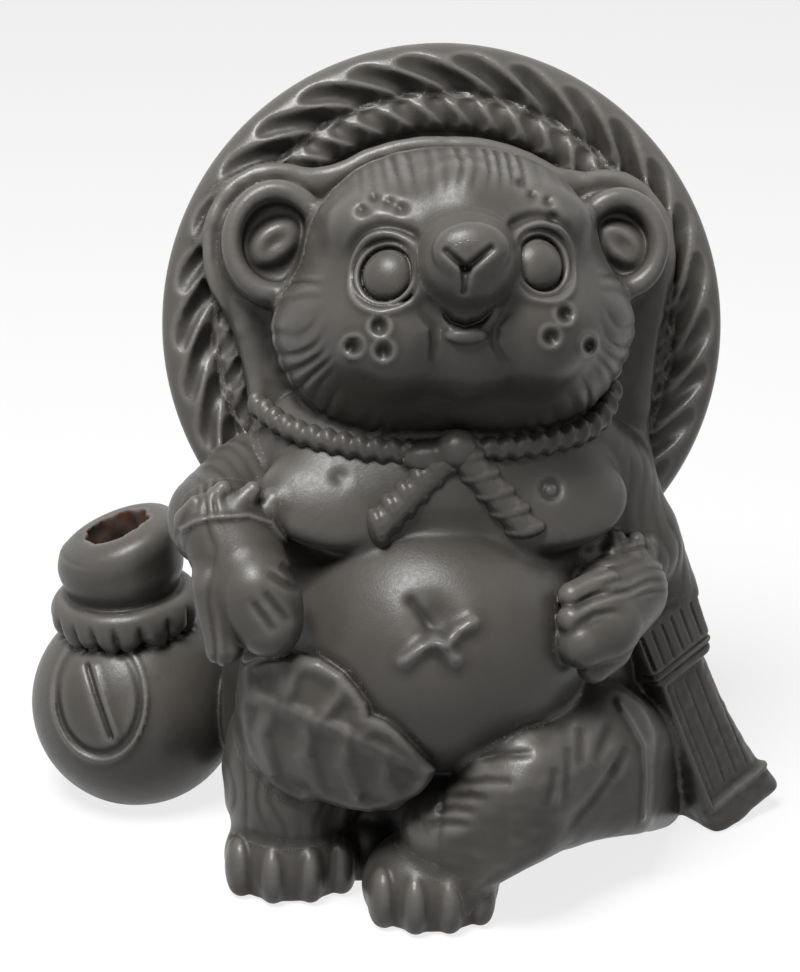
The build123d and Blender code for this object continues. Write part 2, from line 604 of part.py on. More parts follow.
flask_hosts = [torso_form, arm_forms["right"], paw_forms["right"], leg_forms["right"], roll_form, dish_form]
pieces["flask_body"] = seat(flask_ball - flask_hollow - flask_bore, *flask_hosts)
pieces["flask_neck"] = seat(neck_form - flask_bore, *flask_hosts)
pieces["flask_collar"] = seat(flask_place * revolve(collar_ring, Axis.Z), neck_form, flask_ball, *flask_hosts)

# Ledger: a thick block that leans on the left hip, with a band round its top
ledger_tilt = Rot(0, 0, LEDGER_TURN) * Rot(-LEDGER_LEAN, 0, 0) * Rot(0, -LEDGER_ROLL, 0)
ledger_place = Pos(off_torso(*LEDGER_PLACE)) * ledger_tilt
half_length = LEDGER_LENGTH / 2
half_top = LEDGER_TOP_WIDTH / 2
half_foot = LEDGER_FOOT_WIDTH / 2
half_waist = (half_top + half_foot) / 2 - LEDGER_WAIST_SAG
ledger_outline = make_face([
    Polyline(
        (half_top, half_length), (-half_top, half_length),
        (-half_top, -half_length), (half_foot, -half_length)),
    ThreePointArc((half_foot, -half_length), (half_waist, 0), (half_top, half_length)),
])
ledger_slab = extrude(Plane.XZ * ledger_outline, amount=LEDGER_THICKNESS / 2, both=True)
ledger_form = ledger_place * fillet(ledger_slab.edges(), LEDGER_ROUND)
ledger_form = split(ledger_form, bisect_by=ground, keep=Keep.TOP)
band_block = Box(
    LEDGER_TOP_WIDTH + 2 * BAND_THICKNESS, LEDGER_THICKNESS + 2 * BAND_THICKNESS, BAND_LENGTH)
band_block = fillet(band_block.edges(), LEDGER_ROUND)
ledger_band_form = ledger_place * Pos(0, 0, half_length - BAND_BELOW_TOP - BAND_LENGTH / 2) * band_block
ledger_hosts = [torso_form, leg_forms["left"], arm_forms["left"], paw_forms["left"]]
pieces["ledger_block"] = seat(ledger_form, *ledger_hosts)
pieces["ledger_band"] = seat(ledger_band_form, ledger_form, *ledger_hosts)

os.makedirs("parts", exist_ok=True)
for name, piece in pieces.items():
    export_step(piece, f"parts/{name}.step")
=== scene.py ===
import math
import bpy
import numpy as np
import openvdb
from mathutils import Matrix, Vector


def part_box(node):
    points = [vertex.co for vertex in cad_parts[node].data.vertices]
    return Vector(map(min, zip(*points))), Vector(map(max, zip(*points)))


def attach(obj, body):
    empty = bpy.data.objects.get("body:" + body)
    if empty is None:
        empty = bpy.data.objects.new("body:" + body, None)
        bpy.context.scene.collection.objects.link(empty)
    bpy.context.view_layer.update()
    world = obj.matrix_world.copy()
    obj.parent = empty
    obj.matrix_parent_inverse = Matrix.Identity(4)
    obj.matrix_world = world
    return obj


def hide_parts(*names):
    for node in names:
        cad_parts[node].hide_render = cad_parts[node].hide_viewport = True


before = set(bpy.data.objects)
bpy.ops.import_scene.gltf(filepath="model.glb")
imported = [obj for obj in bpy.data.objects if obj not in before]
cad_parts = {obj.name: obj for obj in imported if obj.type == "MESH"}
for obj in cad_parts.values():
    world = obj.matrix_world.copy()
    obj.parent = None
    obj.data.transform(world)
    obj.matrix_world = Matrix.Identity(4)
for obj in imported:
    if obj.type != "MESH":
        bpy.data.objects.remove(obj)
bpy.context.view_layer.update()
mm = 0.001  # the clay is shaped in millimetres and turned to metres at the end


# Clay tools

def blendMin(a, b, k):
    h = np.maximum(k - np.abs(a - b), 0)
    return np.minimum(a, b) - h * h * (0.25 / k)


def blendMax(a, b, k):
    return -blendMin(-a, -b, k)


def ease(t):
    t = np.clip(t, 0, 1)
    return t * t * (3 - 2 * t)


def bell(x, width):
    return np.exp(-(x / width) ** 2)


def length(q):
    return np.sqrt((q * q).sum(1))


def spot(*numbers):
    return np.array(numbers, np.float32)


# Rows of the matrix are the axes of the turned frame
def turned(p, middle, axes):
    return (p - spot(*middle)) @ np.asarray(axes, np.float32).T


def turnAbout(axis, degrees):
    i, j, angle = (axis + 1) % 3, (axis + 2) % 3, math.radians(degrees)
    turn = np.eye(3)
    turn[i, i] = turn[j, j] = math.cos(angle)
    turn[i, j], turn[j, i] = -math.sin(angle), math.sin(angle)
    return turn


# Distance from an egg, by its half sizes
def egg(p, middle, half):
    q = (p - spot(*middle)) / spot(*half)
    k0 = length(q)
    k1 = length(q / spot(*half))
    return k0 * (k0 - 1) / np.maximum(k1, 1e-6)


# Distance past the ends of a stretch
def past(x, low, high):
    return np.maximum(x - high, low - x)


# An egg's distance for a ring's section
def oval(x, y, half):
    q0, q1 = x / half[0], y / half[1]
    k0, k1 = np.hypot(q0, q1), np.hypot(q0 / half[0], q1 / half[1])
    return k0 * (k0 - 1) / np.maximum(k1, 1e-6)


# Share of the way along a line, and the step from the line to each point
def alongLine(p, start, end, flatten=1):
    start, along = spot(*start), spot(*end) - spot(*start)
    flat = along * flatten
    t = np.clip((p - start) @ flat / (flat @ flat), 0, 1)
    return t, p - start - t[:, None] * along


def limb(p, start, end, startRadius, endRadius):
    t, q = alongLine(p, start, end)
    return length(q) - (startRadius + t * (endRadius - startRadius))


# A limb whose sides drop straight to the ground below its middle line
def trouser(p, start, end, startRadius, endRadius):
    t, q = alongLine(p, start, end, spot(1, 1, 0))
    q[:, 2] = np.maximum(q[:, 2], 0)
    return length(q) - (startRadius + t * (endRadius - startRadius))


lattice = np.random.default_rng(11).random((32, 32, 32)).astype(np.float32) * 2 - 1


# Smooth noise between -1 and 1
def grain(p, size, shift=0):
    q = p / np.float32(size) + np.float32(shift * 7.31)
    i = np.floor(q).astype(np.int32)
    f = q - i
    f = f * f * (3 - 2 * f)
    x0, y0, z0 = (i & 31).T
    x1, y1, z1 = ((i + 1) & 31).T
    fx, fy, fz = f.T

    def row(y, z):
        return lattice[x0, y, z] * (1 - fx) + lattice[x1, y, z] * fx

    low = row(y0, z0) * (1 - fy) + row(y1, z0) * fy
    high = row(y0, z1) * (1 - fy) + row(y1, z1) * fy
    return low * (1 - fz) + high * fz


# Pitch, reach and depth of the hair's grooves, and where their noise starts
hair = {
    "back": (4.2, 17, 0.75, 3), "crown": (3.3, 20, 0.75, 8), "jowl": (3.8, 12, 0.7, 9),
    "arm": (4.6, 12, 0.32, 14), "rightPaw": (3, 12, 0.6, 17), "leftPaw": (2.6, 9, 0.7, 19),
    "leg": (4.4, 10, 0.4, 21), "tail": (3.2, 14, 0.9, 25),
}


# Combed grooves: along and across are the places of the points in the hair's own directions
def fur(along, across, kind):
    pitch, reach, depth, shift = hair[kind]
    q = np.stack([along / reach, across / (3 * pitch), np.full_like(along, shift)], 1)
    sway = grain(q, 1, shift)
    fade = ease(0.6 + grain(q * spot(0.8, 3, 1), 1, shift + 1))
    phase = across / pitch + 1.1 * sway
    groove = np.abs(2 * (phase - np.floor(phase)) - 1)
    return depth * (groove ** 2 - 0.4) * (0.25 + 0.75 * fade)


# Distance from a line through places in the tipped front plane
def lineDistance(a, u, route):
    p, best = np.stack([a, u], 1), np.full_like(a, 1e3)
    for ends in zip(route, route[1:]):
        best = np.minimum(best, length(alongLine(p, *ends)[1]))
    return best


def groove(a, u, route, width, depth):
    return depth * bell(lineDistance(a, u, route), width)


# A tool stroke that thins out at both ends
def stroke(a, u, route, width, depth):
    t = alongLine(np.stack([a, u], 1), route[0], route[-1])[0]
    return groove(a, u, route, width, depth) * np.sqrt(4 * t * (1 - t) + 0.04)


def apart(a, u, place):
    return np.hypot(a - place[0], u - place[1])


def pit(a, u, place, width, depth):
    return depth * bell(apart(a, u, place), width)


# Several marks of one kind
def marks(kind, a, u, routes, width, depth):
    return sum(kind(a, u, route, width, depth) for route in routes)


# The head, the hat and the front marks share one frame that is tipped back: across, up, out
tip, headMiddle = 20, (3, -12, 150)
headAxes = turnAbout(0, tip - 90)


def front(p):
    return turned(p, headMiddle, headAxes).T


# Torso

torso = {
    "heights": [0, 24, 52, 76, 96, 110, 120],
    "halfWidths": [50, 56, 55, 52, 48, 46, 39],
    "halfDepths": [31, 37, 38, 34, 29, 25, 18],
    "middles": [3, 0, -3, -7, -10, -11, -12],
    "top": 121, "hollowTop": 110, "wall": 5, "seam": -6,
    "belly": (-2, -28, 64), "bellyHalf": (38, 36, 34),
    "breasts": [(-25, -30.2, 102.4), (24, -29.8, 100.4)],
    "breastHalf": (20, 14, 7.6), "breastSlope": 46,
    "chest": (-1, -28.5, 104), "chestHalf": (17, 10.5, 11),
    "apron": (-21, -27, 3), "apronHalf": (11, 12, 13),
    "navel": (-8, -80.2), "navelHollow": [(-13.1, -76.1), (-10.4, -79.8), (-8.2, -83.3)],
    "navelRidges": [
        [(-15.2, -89.5), (-11, -86.2), (-8, -84.8)], [(-8, -84.8), (-5.6, -87), (-3.6, -89.4)],
        [(-5.4, -85.4), (-2.6, -82.6), (0.6, -81)]],
    "nipple": (21.6, -50.8), "dimple": (-28.9, -46.5),
}
breastAxes = turnAbout(0, -torso["breastSlope"])
sampleHeights = np.arange(-20, 141)


# Values along the height with the corners rubbed off
def alongHeight(z, values):
    line = np.interp(sampleHeights, torso["heights"], values)
    for turn in range(2):
        line = np.convolve(np.pad(line, 4, "edge"), np.full(9, 1 / 9), "valid")
    return np.interp(z, sampleHeights, line).astype(np.float32)


def torsoLoft(p, inset):
    w = alongHeight(p[:, 2], torso["halfWidths"]) - inset
    d = alongHeight(p[:, 2], torso["halfDepths"]) - inset
    x, y = p[:, 0], p[:, 1] - alongHeight(p[:, 2], torso["middles"])
    k = np.sqrt((x / w) ** 2 + (y / d) ** 2)
    g = np.sqrt((x / w ** 2) ** 2 + (y / d ** 2) ** 2)
    return k * (k - 1) / np.maximum(g, 1e-5)


def torsoField(p):
    f = blendMax(torsoLoft(p, 0), p[:, 2] - torso["top"], 6)
    f = blendMin(f, egg(p, torso["belly"], torso["bellyHalf"]), 3)
    for middle in torso["breasts"]:
        f = blendMin(f, egg(turned(p, middle, breastAxes), (0, 0, 0), torso["breastHalf"]), 4)
    f = blendMin(f, egg(p, torso["chest"], torso["chestHalf"]), 6)
    return blendMin(f, egg(p, torso["apron"], torso["apronHalf"]), 3)


def torsoHollow(p):
    f = blendMax(torsoLoft(p, torso["wall"]), p[:, 2] - torso["hollowTop"], 3)
    return np.minimum(f, egg(p, torso["belly"], spot(*torso["bellyHalf"]) - torso["wall"]))


def torsoDetail(p):
    a, u, n = front(p)
    ahead = ease((n + 12) / 6)
    d = groove(a, u, torso["navelHollow"], 1.6, 1) + pit(a, u, torso["navel"], 5.2, 2.6)
    d -= marks(groove, a, u, torso["navelRidges"], 1.7, 1.9)
    ring = apart(a, u, torso["nipple"])
    d += 0.6 * bell(ring - 2, 0.7) - 0.5 * bell(ring, 1.2)
    d = ahead * (d + pit(a, u, torso["dimple"], 2, 0.7))
    behind = ease((p[:, 1] - 2) / 14)
    angle = np.arctan2(p[:, 1] + 8, p[:, 0])
    return d + behind * fur(p[:, 2], 46 * angle + 0.12 * p[:, 2], "back")


# Hat

hat = {
    "middle": (0, -9.8, -30), "radius": 70.5, "depth": 12, "thickness": 8,
    "rollHalf": (6.4, 6), "rollSet": -2, "rollProud": 0.4,
    "rollHollows": {"count": 30, "middle": 62.6, "half": 5.6, "slant": 12.5, "depth": 2.1, "shift": 4},
    "bandHalf": (4.1, 4), "bandDrop": 3, "bandProud": 0.3,
    "bandHollows": {"count": 42, "middle": 53.2, "half": 4.2, "slant": 4, "depth": 1.4, "shift": 6},
    "backRings": 9,
}
dishRadius = hat["radius"] - hat["rollHalf"][0]
bandRadius = hat["radius"] - 2 * hat["rollHalf"][0] - hat["bandHalf"][0]


def hatPlace(p):
    a, u, n = (v - m for v, m in zip(front(p), hat["middle"]))
    return np.hypot(a, u), np.arctan2(u, a), n


def dishField(p):
    r, angle, n = hatPlace(p)
    grade, half = hat["depth"] / dishRadius, hat["thickness"] / 2
    drop = hat["depth"] * (1 - r / dishRadius)
    slab = np.abs(n + drop + half) / math.hypot(1, grade) - half
    return blendMax(slab, r - dishRadius, 2)


def hatRing(p, radius, level, half):
    r, angle, n = hatPlace(p)
    return oval(r - radius, n - level, half)


def rollField(p):
    return hatRing(p, dishRadius, hat["rollSet"], hat["rollHalf"])


def bandField(p):
    return hatRing(p, bandRadius, -hat["depth"] * (1 - bandRadius / dishRadius), hat["bandHalf"])


# Leaf-shaped hollows pressed between slanting straw ridges
def strawHollows(r, angle, n, count, middle, half, slant, depth, shift):
    share = (r - middle) / half
    swing = slant / middle * 0.5 * (share + 0.25 * np.sin(np.pi * np.clip(share, -1, 1)))
    q = np.stack([3 * np.cos(angle), 3 * np.sin(angle), np.full_like(r, shift)], 1)
    phase = (angle - swing) * count / (2 * math.pi) + 0.22 * grain(q, 1, shift)
    t = 2 * (phase - np.floor(phase)) - 1
    lens = np.clip(1 - (np.abs(t) / 0.94) ** 2 - np.abs(share) ** 2.4, 0, 1)
    return ease((n + 3) / 3) * depth * lens ** 1.25 * (1 + 0.25 * grain(q * 4, 1, shift + 2))


def rollDetail(p):
    return strawHollows(*hatPlace(p), **hat["rollHollows"]) - hat["rollProud"]


def bandDetail(p):
    r, angle, n = hatPlace(p)
    return strawHollows(r, angle, n + hat["bandDrop"], **hat["bandHollows"]) - hat["bandProud"]


def dishDetail(p):
    r, angle, n = hatPlace(p)
    back = ease((-n - 10) / 5)
    return back * 0.6 * np.abs(np.sin(r * math.pi / hat["backRings"] + 0.15 * np.sin(7 * angle)))


# Head

head = {
    "half": (36, 31.5, 36), "jowl": 8, "jaw": 38, "jawPower": 2.7, "crownPower": 2.3, "tuck": 11,
    "seam": -1, "back": -32, "hollowInset": 7, "hollowBack": -34,
    "swells": [
        ((-16.5, -13.5, 22.5), (12.8, 13, 12.5), 6), ((-17, 12, 20.5), (13, 7.5, 10), 7),
        ((16.5, -13.5, 22.5), (12.8, 13, 12.5), 6), ((17, 12, 20.5), (13, 7.5, 10), 7),
        ((0.5, -16, 21), (8, 11, 10), 6), ((0.3, 13, 25), (9, 12, 9), 8)],
    "haloGap": 4.4, "haloOut": -25, "haloRidge": 1.9, "haloBack": -36,
    "strip": (1, -24), "stripHalf": (54, 28), "stripFlare": 0.12, "stripOut": -20,
    "ears": {"right": ((-42, 10), (13.2, 15), 1), "left": ((41.2, 8), (11.8, 13.6), -1)},
    "earBack": -34,
}


def headShare(a, u):
    power = head["crownPower"] + (head["jawPower"] - head["crownPower"]) * ease(-u / 14)
    width = head["half"][0] + head["jowl"] * ease((8 - u) / 20)
    rise = np.where(u > 0, head["half"][1], head["jaw"])
    q = (np.abs(a) / width) ** power + (np.abs(u) / rise) ** power
    return np.maximum(q, 1e-6) ** (1 / power)


def headDepth(u):
    return head["half"][2] - head["tuck"] * ease((-12 - u) / 26)


def headBall(p):
    a, u, n = front(p)
    share = headShare(a, u)
    k = np.maximum(np.where(n > 0, np.hypot(share, n / headDepth(u)), share), 1e-3)
    reach = np.where(n > 0, np.sqrt(a * a + u * u + n * n), np.hypot(a, u))
    f = 0.88 * reach * (1 - 1 / k)
    for middle, half, join in head["swells"]:
        f = blendMin(f, localEgg(p, middle, half), join)
    return np.maximum(f, head["back"] - n)


# The head with the eyes' sockets cut in
def headField(p):
    f = headBall(p)
    for side in faceMarks["eyes"]:
        x, y, z = eyePlace(p, side).T
        socket = np.maximum(face["ballSet"] - z, np.hypot(x, y) - face["socketRadius"])
        f = blendMax(f, -0.9 * socket, 0.6)
    return f


def localEgg(p, middle, half):
    return egg(front(p).T, middle, half)


def headHollow(p):
    a, u, n = front(p)
    half = spot(*head["half"]) - head["hollowInset"]
    fore = localEgg(p, (0, 0, 0), half)
    aft = 0.8 * np.hypot(a, u) * (1 - 1 / np.maximum(np.hypot(a / half[0], u / half[1]), 1e-3))
    return np.maximum(np.where(n > 0, fore, aft), head["hollowBack"] - n)


faceMarks = {
    "pits": [(-20.1, -11.8), (-25.9, -16.1), (-19.2, -17.4), (22.5, -10), (19, -15.1), (28.6, -16.8)],
    "browDents": [
        (-23, 15), (-20, 17.5), (-17, 16.5), (-14.5, 15), (13.5, 20.5), (16, 17.5), (19.5, 16), (20.5, 12.5)],
    "cheekFolds": [
        [(-10.7, -8.2), (-7.9, -12.1), (-7.6, -16.4), (-8, -20.4)],
        [(9.1, -8.7), (6.5, -12.4), (6.2, -16), (8.5, -20.8)]],
    "smile": [(-5.8, -8.8), (-3.6, -11), (-0.4, -12.2), (3.2, -11), (6, -8.4)],
    "eyes": {"right": (-18.2, 0.2), "left": (17.5, 1.8)},
}


def faceDetail(p):
    a, u, n = front(p)
    d = np.zeros_like(a)
    ahead = ease((n - 2) / 6)
    for side in faceMarks["eyes"]:
        q = eyePlace(p, side)
        ring = np.hypot(q[:, 0], q[:, 1])
        d -= ahead * 0.75 * bell(ring - 9.2, 0.9)
        d += ahead * 1.2 * bell(ring - 10.8, 1.5) * ease((q[:, 1] - 0.3 * np.abs(q[:, 0])) / 8)
    for place in faceMarks["pits"]:
        ring = apart(a, u, place)
        d += ahead * (1.6 * bell(ring, 1.5) - 0.4 * bell(ring - 2.5, 0.8))
    d += ahead * marks(pit, a, u, faceMarks["browDents"], 1.5, 1.1)
    folds = faceMarks["cheekFolds"]
    d += ahead * (marks(stroke, a, u, folds, 1, 0.7) + marks(groove, a, u, folds, 3.4, 0.8))
    d += ahead * stroke(a, u, faceMarks["smile"], 0.8, 1.9)
    # hair combed up the forehead and back over the cheeks
    crown = ease((u - 17) / 8) * ahead
    d += crown * fur(u, a, "crown")
    jowl = ease((np.hypot(a * 0.9, (u + 8)) - 28) / 6) * ease((6 - u) / 6)
    angle = np.arctan2(u - 6, np.abs(a))
    return d + jowl * fur(np.hypot(a, u), 40 * angle, "jowl")


# Plate behind the head and ears, with a ridge round it and two wide strips below the ears
def haloField(p):
    a, u, n = front(p)
    share = headShare(a, u)
    reach = np.hypot(a, u) * (1 - 1 / np.maximum(share, 1e-3))
    for place, half, hand in head["ears"].values():
        k = np.hypot((a - place[0]) / half[0], (u - place[1]) / half[1])
        reach = blendMin(reach, half[0] * (k - 1), 8)
    reach = reach - head["haloGap"]
    plate = blendMax(reach, n - head["haloOut"], 2)
    ridge = np.hypot(reach + 1.2, n - head["haloOut"] + 0.4) - head["haloRidge"]
    f = blendMin(plate, ridge, 3)
    (acrossMiddle, upMiddle), (acrossHalf, upHalf) = head["strip"], head["stripHalf"]
    strip = np.abs(a - acrossMiddle) - acrossHalf - head["stripFlare"] * u
    strip = blendMax(strip, np.abs(u - upMiddle) - upHalf, 8)
    f = blendMin(f, blendMax(strip, n - head["stripOut"], 4), 6)
    return np.maximum(f, head["haloBack"] - n)


# The back shell: the plate and the rear of the head
def backField(p):
    n = front(p)[2]
    return np.minimum(haloField(p), np.maximum(headBall(p), n - head["seam"]))


def haloDetail(p):
    return 0.2 * grain(p, 3.5, 12)


def earField(p, side):
    place, half, hand = head["ears"][side]
    a, u, n = front(p)
    a, u = (a - place[0]) * hand, u - place[1]
    r = np.hypot(a / half[0], u / half[1]) * half[0]
    ridge = half[0] - 2.3
    rim = np.hypot((r - ridge) / 0.9, n + 3.4) - 2.6
    wall = np.abs(r - ridge) - 2.2
    cup = blendMax(r - half[0] + 1, n + 7.2, 3)
    f = blendMin(blendMin(rim, blendMax(wall, n + 4, 2), 1.5), cup, 3)
    x, y = a * 0.8 + u * 0.6, u * 0.8 - a * 0.6
    lobe = egg(np.stack([x, y, n + 7], 1), (-0.5, 0.5, 0), (7, 4.8, 3.6))
    f = blendMin(f, lobe, 2) + 1.3 * np.exp(-((x + 0.5) / 3.6) ** 2 - ((y - 0.5) / 1.9) ** 2)
    return np.maximum(f, head["earBack"] - n)


# Face parts

face = {
    "muzzle": (0.3, 2.2, 34), "muzzleHalf": (11.4, 10.6, 13.8),
    "nose": (0.3, 4.6, 44.4), "noseHalf": (8.6, 6.2, 4.6),
    "lip": (0, -14.2, 33), "lipHalf": (5.4, 2.2, 2.6),
    "lidRadius": 7.15, "lidThickness": 0.62, "lidSet": -1.2, "lidHalfDepth": 1.7,
    "ballHalf": (6, 6, 4.4), "ballSet": -1.7, "socketRadius": 8.1,
    "noseArms": [[(-5.4, 4.2), (-1.2, 0.2)], [(4.4, 4.6), (-1.2, 0.2)], [(-1.2, 0.2), (-1.5, -4.4)]],
}


def faceEgg(p, name):
    return localEgg(p, face[name], face[name + "Half"])


def muzzleDetail(p):
    a, u, n = front(p)
    return ease((n - 36) / 4) * marks(groove, a, u, face["noseArms"], 0.85, 1.1)


# Frame of each eye: the place on the skin of the face, and the direction out of it
def eyeFrame(place):
    axes = np.array(headAxes, np.float32)

    def skinAt(q):
        p = (q @ axes + spot(*headMiddle)).astype(np.float32)
        return blendMin(headBall(p), faceEgg(p, "muzzle"), 5)

    n = np.linspace(52, 12, 1601, dtype=np.float32)
    line = np.stack([np.full_like(n, place[0]), np.full_like(n, place[1]), n], 1)
    middle = line[np.argmax(skinAt(line) < 0)]
    shifts = np.concatenate([np.eye(3), -np.eye(3)]).astype(np.float32) * 4
    f = skinAt(middle + shifts)
    out = f[:3] - f[3:]
    out = out / np.linalg.norm(out)
    side = np.array([1, 0, 0]) - out[0] * out
    side = side / np.linalg.norm(side)
    return middle, np.stack([side, np.cross(out, side), out]).T.astype(np.float32)


eyeFrames = {}


def eyePlace(p, side):
    if side not in eyeFrames:
        eyeFrames[side] = eyeFrame(faceMarks["eyes"][side])
    middle, axes = eyeFrames[side]
    return (front(p).T - middle) @ axes


def lidField(p, side):
    x, y, z = eyePlace(p, side).T
    wall = np.abs(np.hypot(x, y) - face["lidRadius"]) - face["lidThickness"]
    return blendMax(wall, np.abs(z - face["lidSet"]) - face["lidHalfDepth"], 0.9)


def ballField(p, side):
    return egg(eyePlace(p, side), (0, 0, face["ballSet"]), face["ballHalf"])


# Arms

arms = {
    "rightShoulder": (-45.9, -10.1, 97), "rightElbow": (-54.7, -25.5, 95),
    "rightWrist": (-52.9, -33.8, 95), "rightKnuckles": (-45.5, -45.5, 82),
    "leftShoulder": (41, -10.1, 97), "leftElbow": (47, -16.5, 80),
    "leftWrist": (43, -32, 76), "leftKnuckles": (37, -43.5, 74),
    "armRadii": (13, 12.5), "pawRadii": (11.5, 10), "fingerTaper": 0.92,
    "leftSleeve": ((52, -16, 86), (59.5, -11, 66), 7, 6.5),
    "rightCuffTaper": 0.55, "rightCuffJoin": 1.6, "leftCuffTaper": 0.65, "leftCuffJoin": 1.4,
    "rightFingers": [
        ((-56.5, -44.5, 86), (-54.2, -48.5, 72), 5.2),
        ((-46, -47.5, 86), (-43.4, -50, 78), 8.6)],
    "leftFingers": [
        ((36.5, -45, 84), (28.8, -48, 82), 3.8),
        ((36, -48, 79.5), (28.6, -51.5, 77.6), 4.2),
        ((37, -48, 72.5), (31, -51.5, 71.5), 7),
        ((39, -46, 66), (34, -50.5, 64.4), 4.4)],
    "rightCreases": [
        [(-46.7, -68), (-42.8, -70.8), (-39.2, -72.7)], [(-43.6, -66.2), (-40.8, -69.2), (-38.4, -71.4)],
        [(-50.2, -74.6), (-47.4, -78.6), (-45.2, -81.8)], [(-47.4, -72.4), (-44.4, -76.6), (-42, -79.6)]],
    "rightEdge": [
        (-66.5, -57.8), (-63.2, -56), (-59.2, -55), (-50.3, -54.8), (-45, -57), (-41, -62.6)],
    "leftCreases": [
        [(25.4, -78.6), (30, -76.4), (35, -75)], [(25, -83), (30.4, -80.4), (36, -79.6)]],
    "rightCuff": [
        ((-62.5, -35, 99), (-60, -36, 104), 2.8),
        ((-58, -37, 101), (-53.5, -36, 107), 3.8),
        ((-51.5, -37.5, 101), (-46.5, -36, 106.5), 3.9),
        ((-45, -36.5, 99.5), (-42, -34.5, 103), 2.8)],
    "leftCuff": [
        ((36.4, -31.5, 84.5), (37.6, -30, 87), 3.2),
        ((40.6, -32.5, 85), (42, -30, 88.4), 3.4),
        ((45.4, -31.5, 84.5), (46.8, -29, 87.6), 3.4),
        ((49.4, -28.5, 83), (50.4, -26.5, 85.4), 2.8)],
}


def armField(p, side):
    f = limb(p, arms[side + "Shoulder"], arms[side + "Elbow"], *arms["armRadii"])
    if side == "left":
        f = blendMin(f, limb(p, *arms["leftSleeve"]), 3)
    taper, join = arms[side + "CuffTaper"], arms[side + "CuffJoin"]
    for low, high, radius in arms[side + "Cuff"]:
        f = blendMin(f, limb(p, low, high, radius, taper * radius), join)
    return f


def armDetail(p):
    a, u, n = front(p)
    return fur(p[:, 2], 0.8 * a - 0.5 * n, "arm")


def pawField(p, side):
    f = limb(p, arms[side + "Wrist"], arms[side + "Knuckles"], *arms["pawRadii"])
    digits = None
    for start, end, radius in arms[side + "Fingers"]:
        digit = limb(p, start, end, radius, radius * arms["fingerTaper"])
        digits = digit if digits is None else blendMin(digits, digit, 0.9)
    return blendMin(f, digits, 3)


def rightPawDetail(p):
    a, u, n = front(p)
    d = ease((-55 - a) / 4) * fur(u, a, "rightPaw")
    d += marks(stroke, a, u, arms["rightCreases"], 1, 0.85)
    return d - groove(a, u, arms["rightEdge"], 0.8, 0.9)


def leftPawDetail(p):
    a, u, n = front(p)
    d = ease((a - 31) / 4) * ease((u + 79) / 4) * fur(a, u, "leftPaw")
    return d + marks(stroke, a, u, arms["leftCreases"], 1, 0.8)


# Legs, feet and tail

legs = {
    "rightMiddle": (-38.8, -26.9, 26), "rightHalf": (17, 20, 27),
    "leftLine": [(44, -9, 20), (36.5, -35, 36), (15.5, -54.5, 38), (-1.5, -51, 22)],
    "leftRadii": (20, 15.5, 13.4, 11), "facet": (-0.34, -0.60, 0.72), "facetShare": 0.87,
    "groundLine": [
        (4, -62), (13.6, -39.8), (22.4, -29.6), (31.3, -21), (39.6, -17.4), (47.8, -15.9), (60, -18)],
    "groundSkew": 0.12, "groundPivot": -20, "undercut": 0.5,
    "facetFolds": [
        [(8, -109.6), (14, -107.2), (20.6, -106.4)], [(2.8, -114.6), (9, -113.4), (15.6, -113)],
        [(-1.2, -120.6), (4.4, -119.2), (9.9, -119.4)], [(-3.8, -124.6), (0.6, -123.2), (4.4, -123.2)],
        [(-7.4, -128), (-2.8, -126.6), (1.4, -126.8)], [(-9.4, -131.2), (-5, -130.2), (0.6, -130.4)]],
    "fan": [
        [(28.1, -108.5), (27.1, -117.4)], [(24.2, -112.5), (22.3, -125.6)], [(20.6, -116.5), (17.8, -126)],
        [(35.8, -108.8), (31.1, -117.5)], [(39.7, -114), (36, -122.4)],
        [(37.8, -118.4), (31, -126.4), (23.4, -133.6)]],
    "outerEdge": [(39.1, -104.2), (44.6, -114.6), (45.6, -124), (45.3, -133.5)],
    "rightFoot": (-38.8, -33.9, 6.5), "rightToes": [-12.8, -5, 4.2, 12],
    "leftFoot": (-5, -50.5, 6.5), "leftToes": [-12, -4.6, 3.6, 11.4],
    "footHalf": (17, 15, 14), "toeArc": (17.5, 15),
    "toeBack": 4.4, "toeHeight": 6.6, "toeHalf": (4.1, 6.6, 8.4),
}


# Flattens the upper front of a limb
def faceted(f, p, start, end, startRadius, endRadius):
    t, q = alongLine(p, start, end)
    level = q @ spot(*legs["facet"])
    return blendMax(f, level - legs["facetShare"] * (startRadius + t * (endRadius - startRadius)), 1.6)


# From hip to knee, shin and ankle, undercut behind a line on the ground
def leftLegField(p):
    line, radii = legs["leftLine"], legs["leftRadii"]
    thigh, *lower = zip(line, line[1:], radii, radii[1:])
    f = trouser(p, *thigh)
    for part in lower:
        f = blendMin(f, faceted(trouser(p, *part), p, *part), 3)
    reach, back = zip(*legs["groundLine"])
    across = p[:, 0] - legs["groundSkew"] * (p[:, 1] - legs["groundPivot"])
    edge = np.interp(across, reach, back).astype(np.float32)
    return blendMax(f, 0.9 * (legs["undercut"] * (edge - p[:, 1]) - p[:, 2]), 5)


def rightLegDetail(p):
    a, u, n = front(p)
    return fur(u, a, "leg")


def leftLegDetail(p):
    a, u, n = front(p)
    ahead = ease((n + 16) / 6)
    d = 0.15 * grain(p * spot(1, 1, 2), 5, 23)
    d += ahead * marks(stroke, a, u, legs["facetFolds"], 1, 0.8)
    d += ahead * marks(stroke, a, u, legs["fan"], 1.5, 0.9)
    return d - groove(a, u, legs["outerEdge"], 0.9, 0.9)


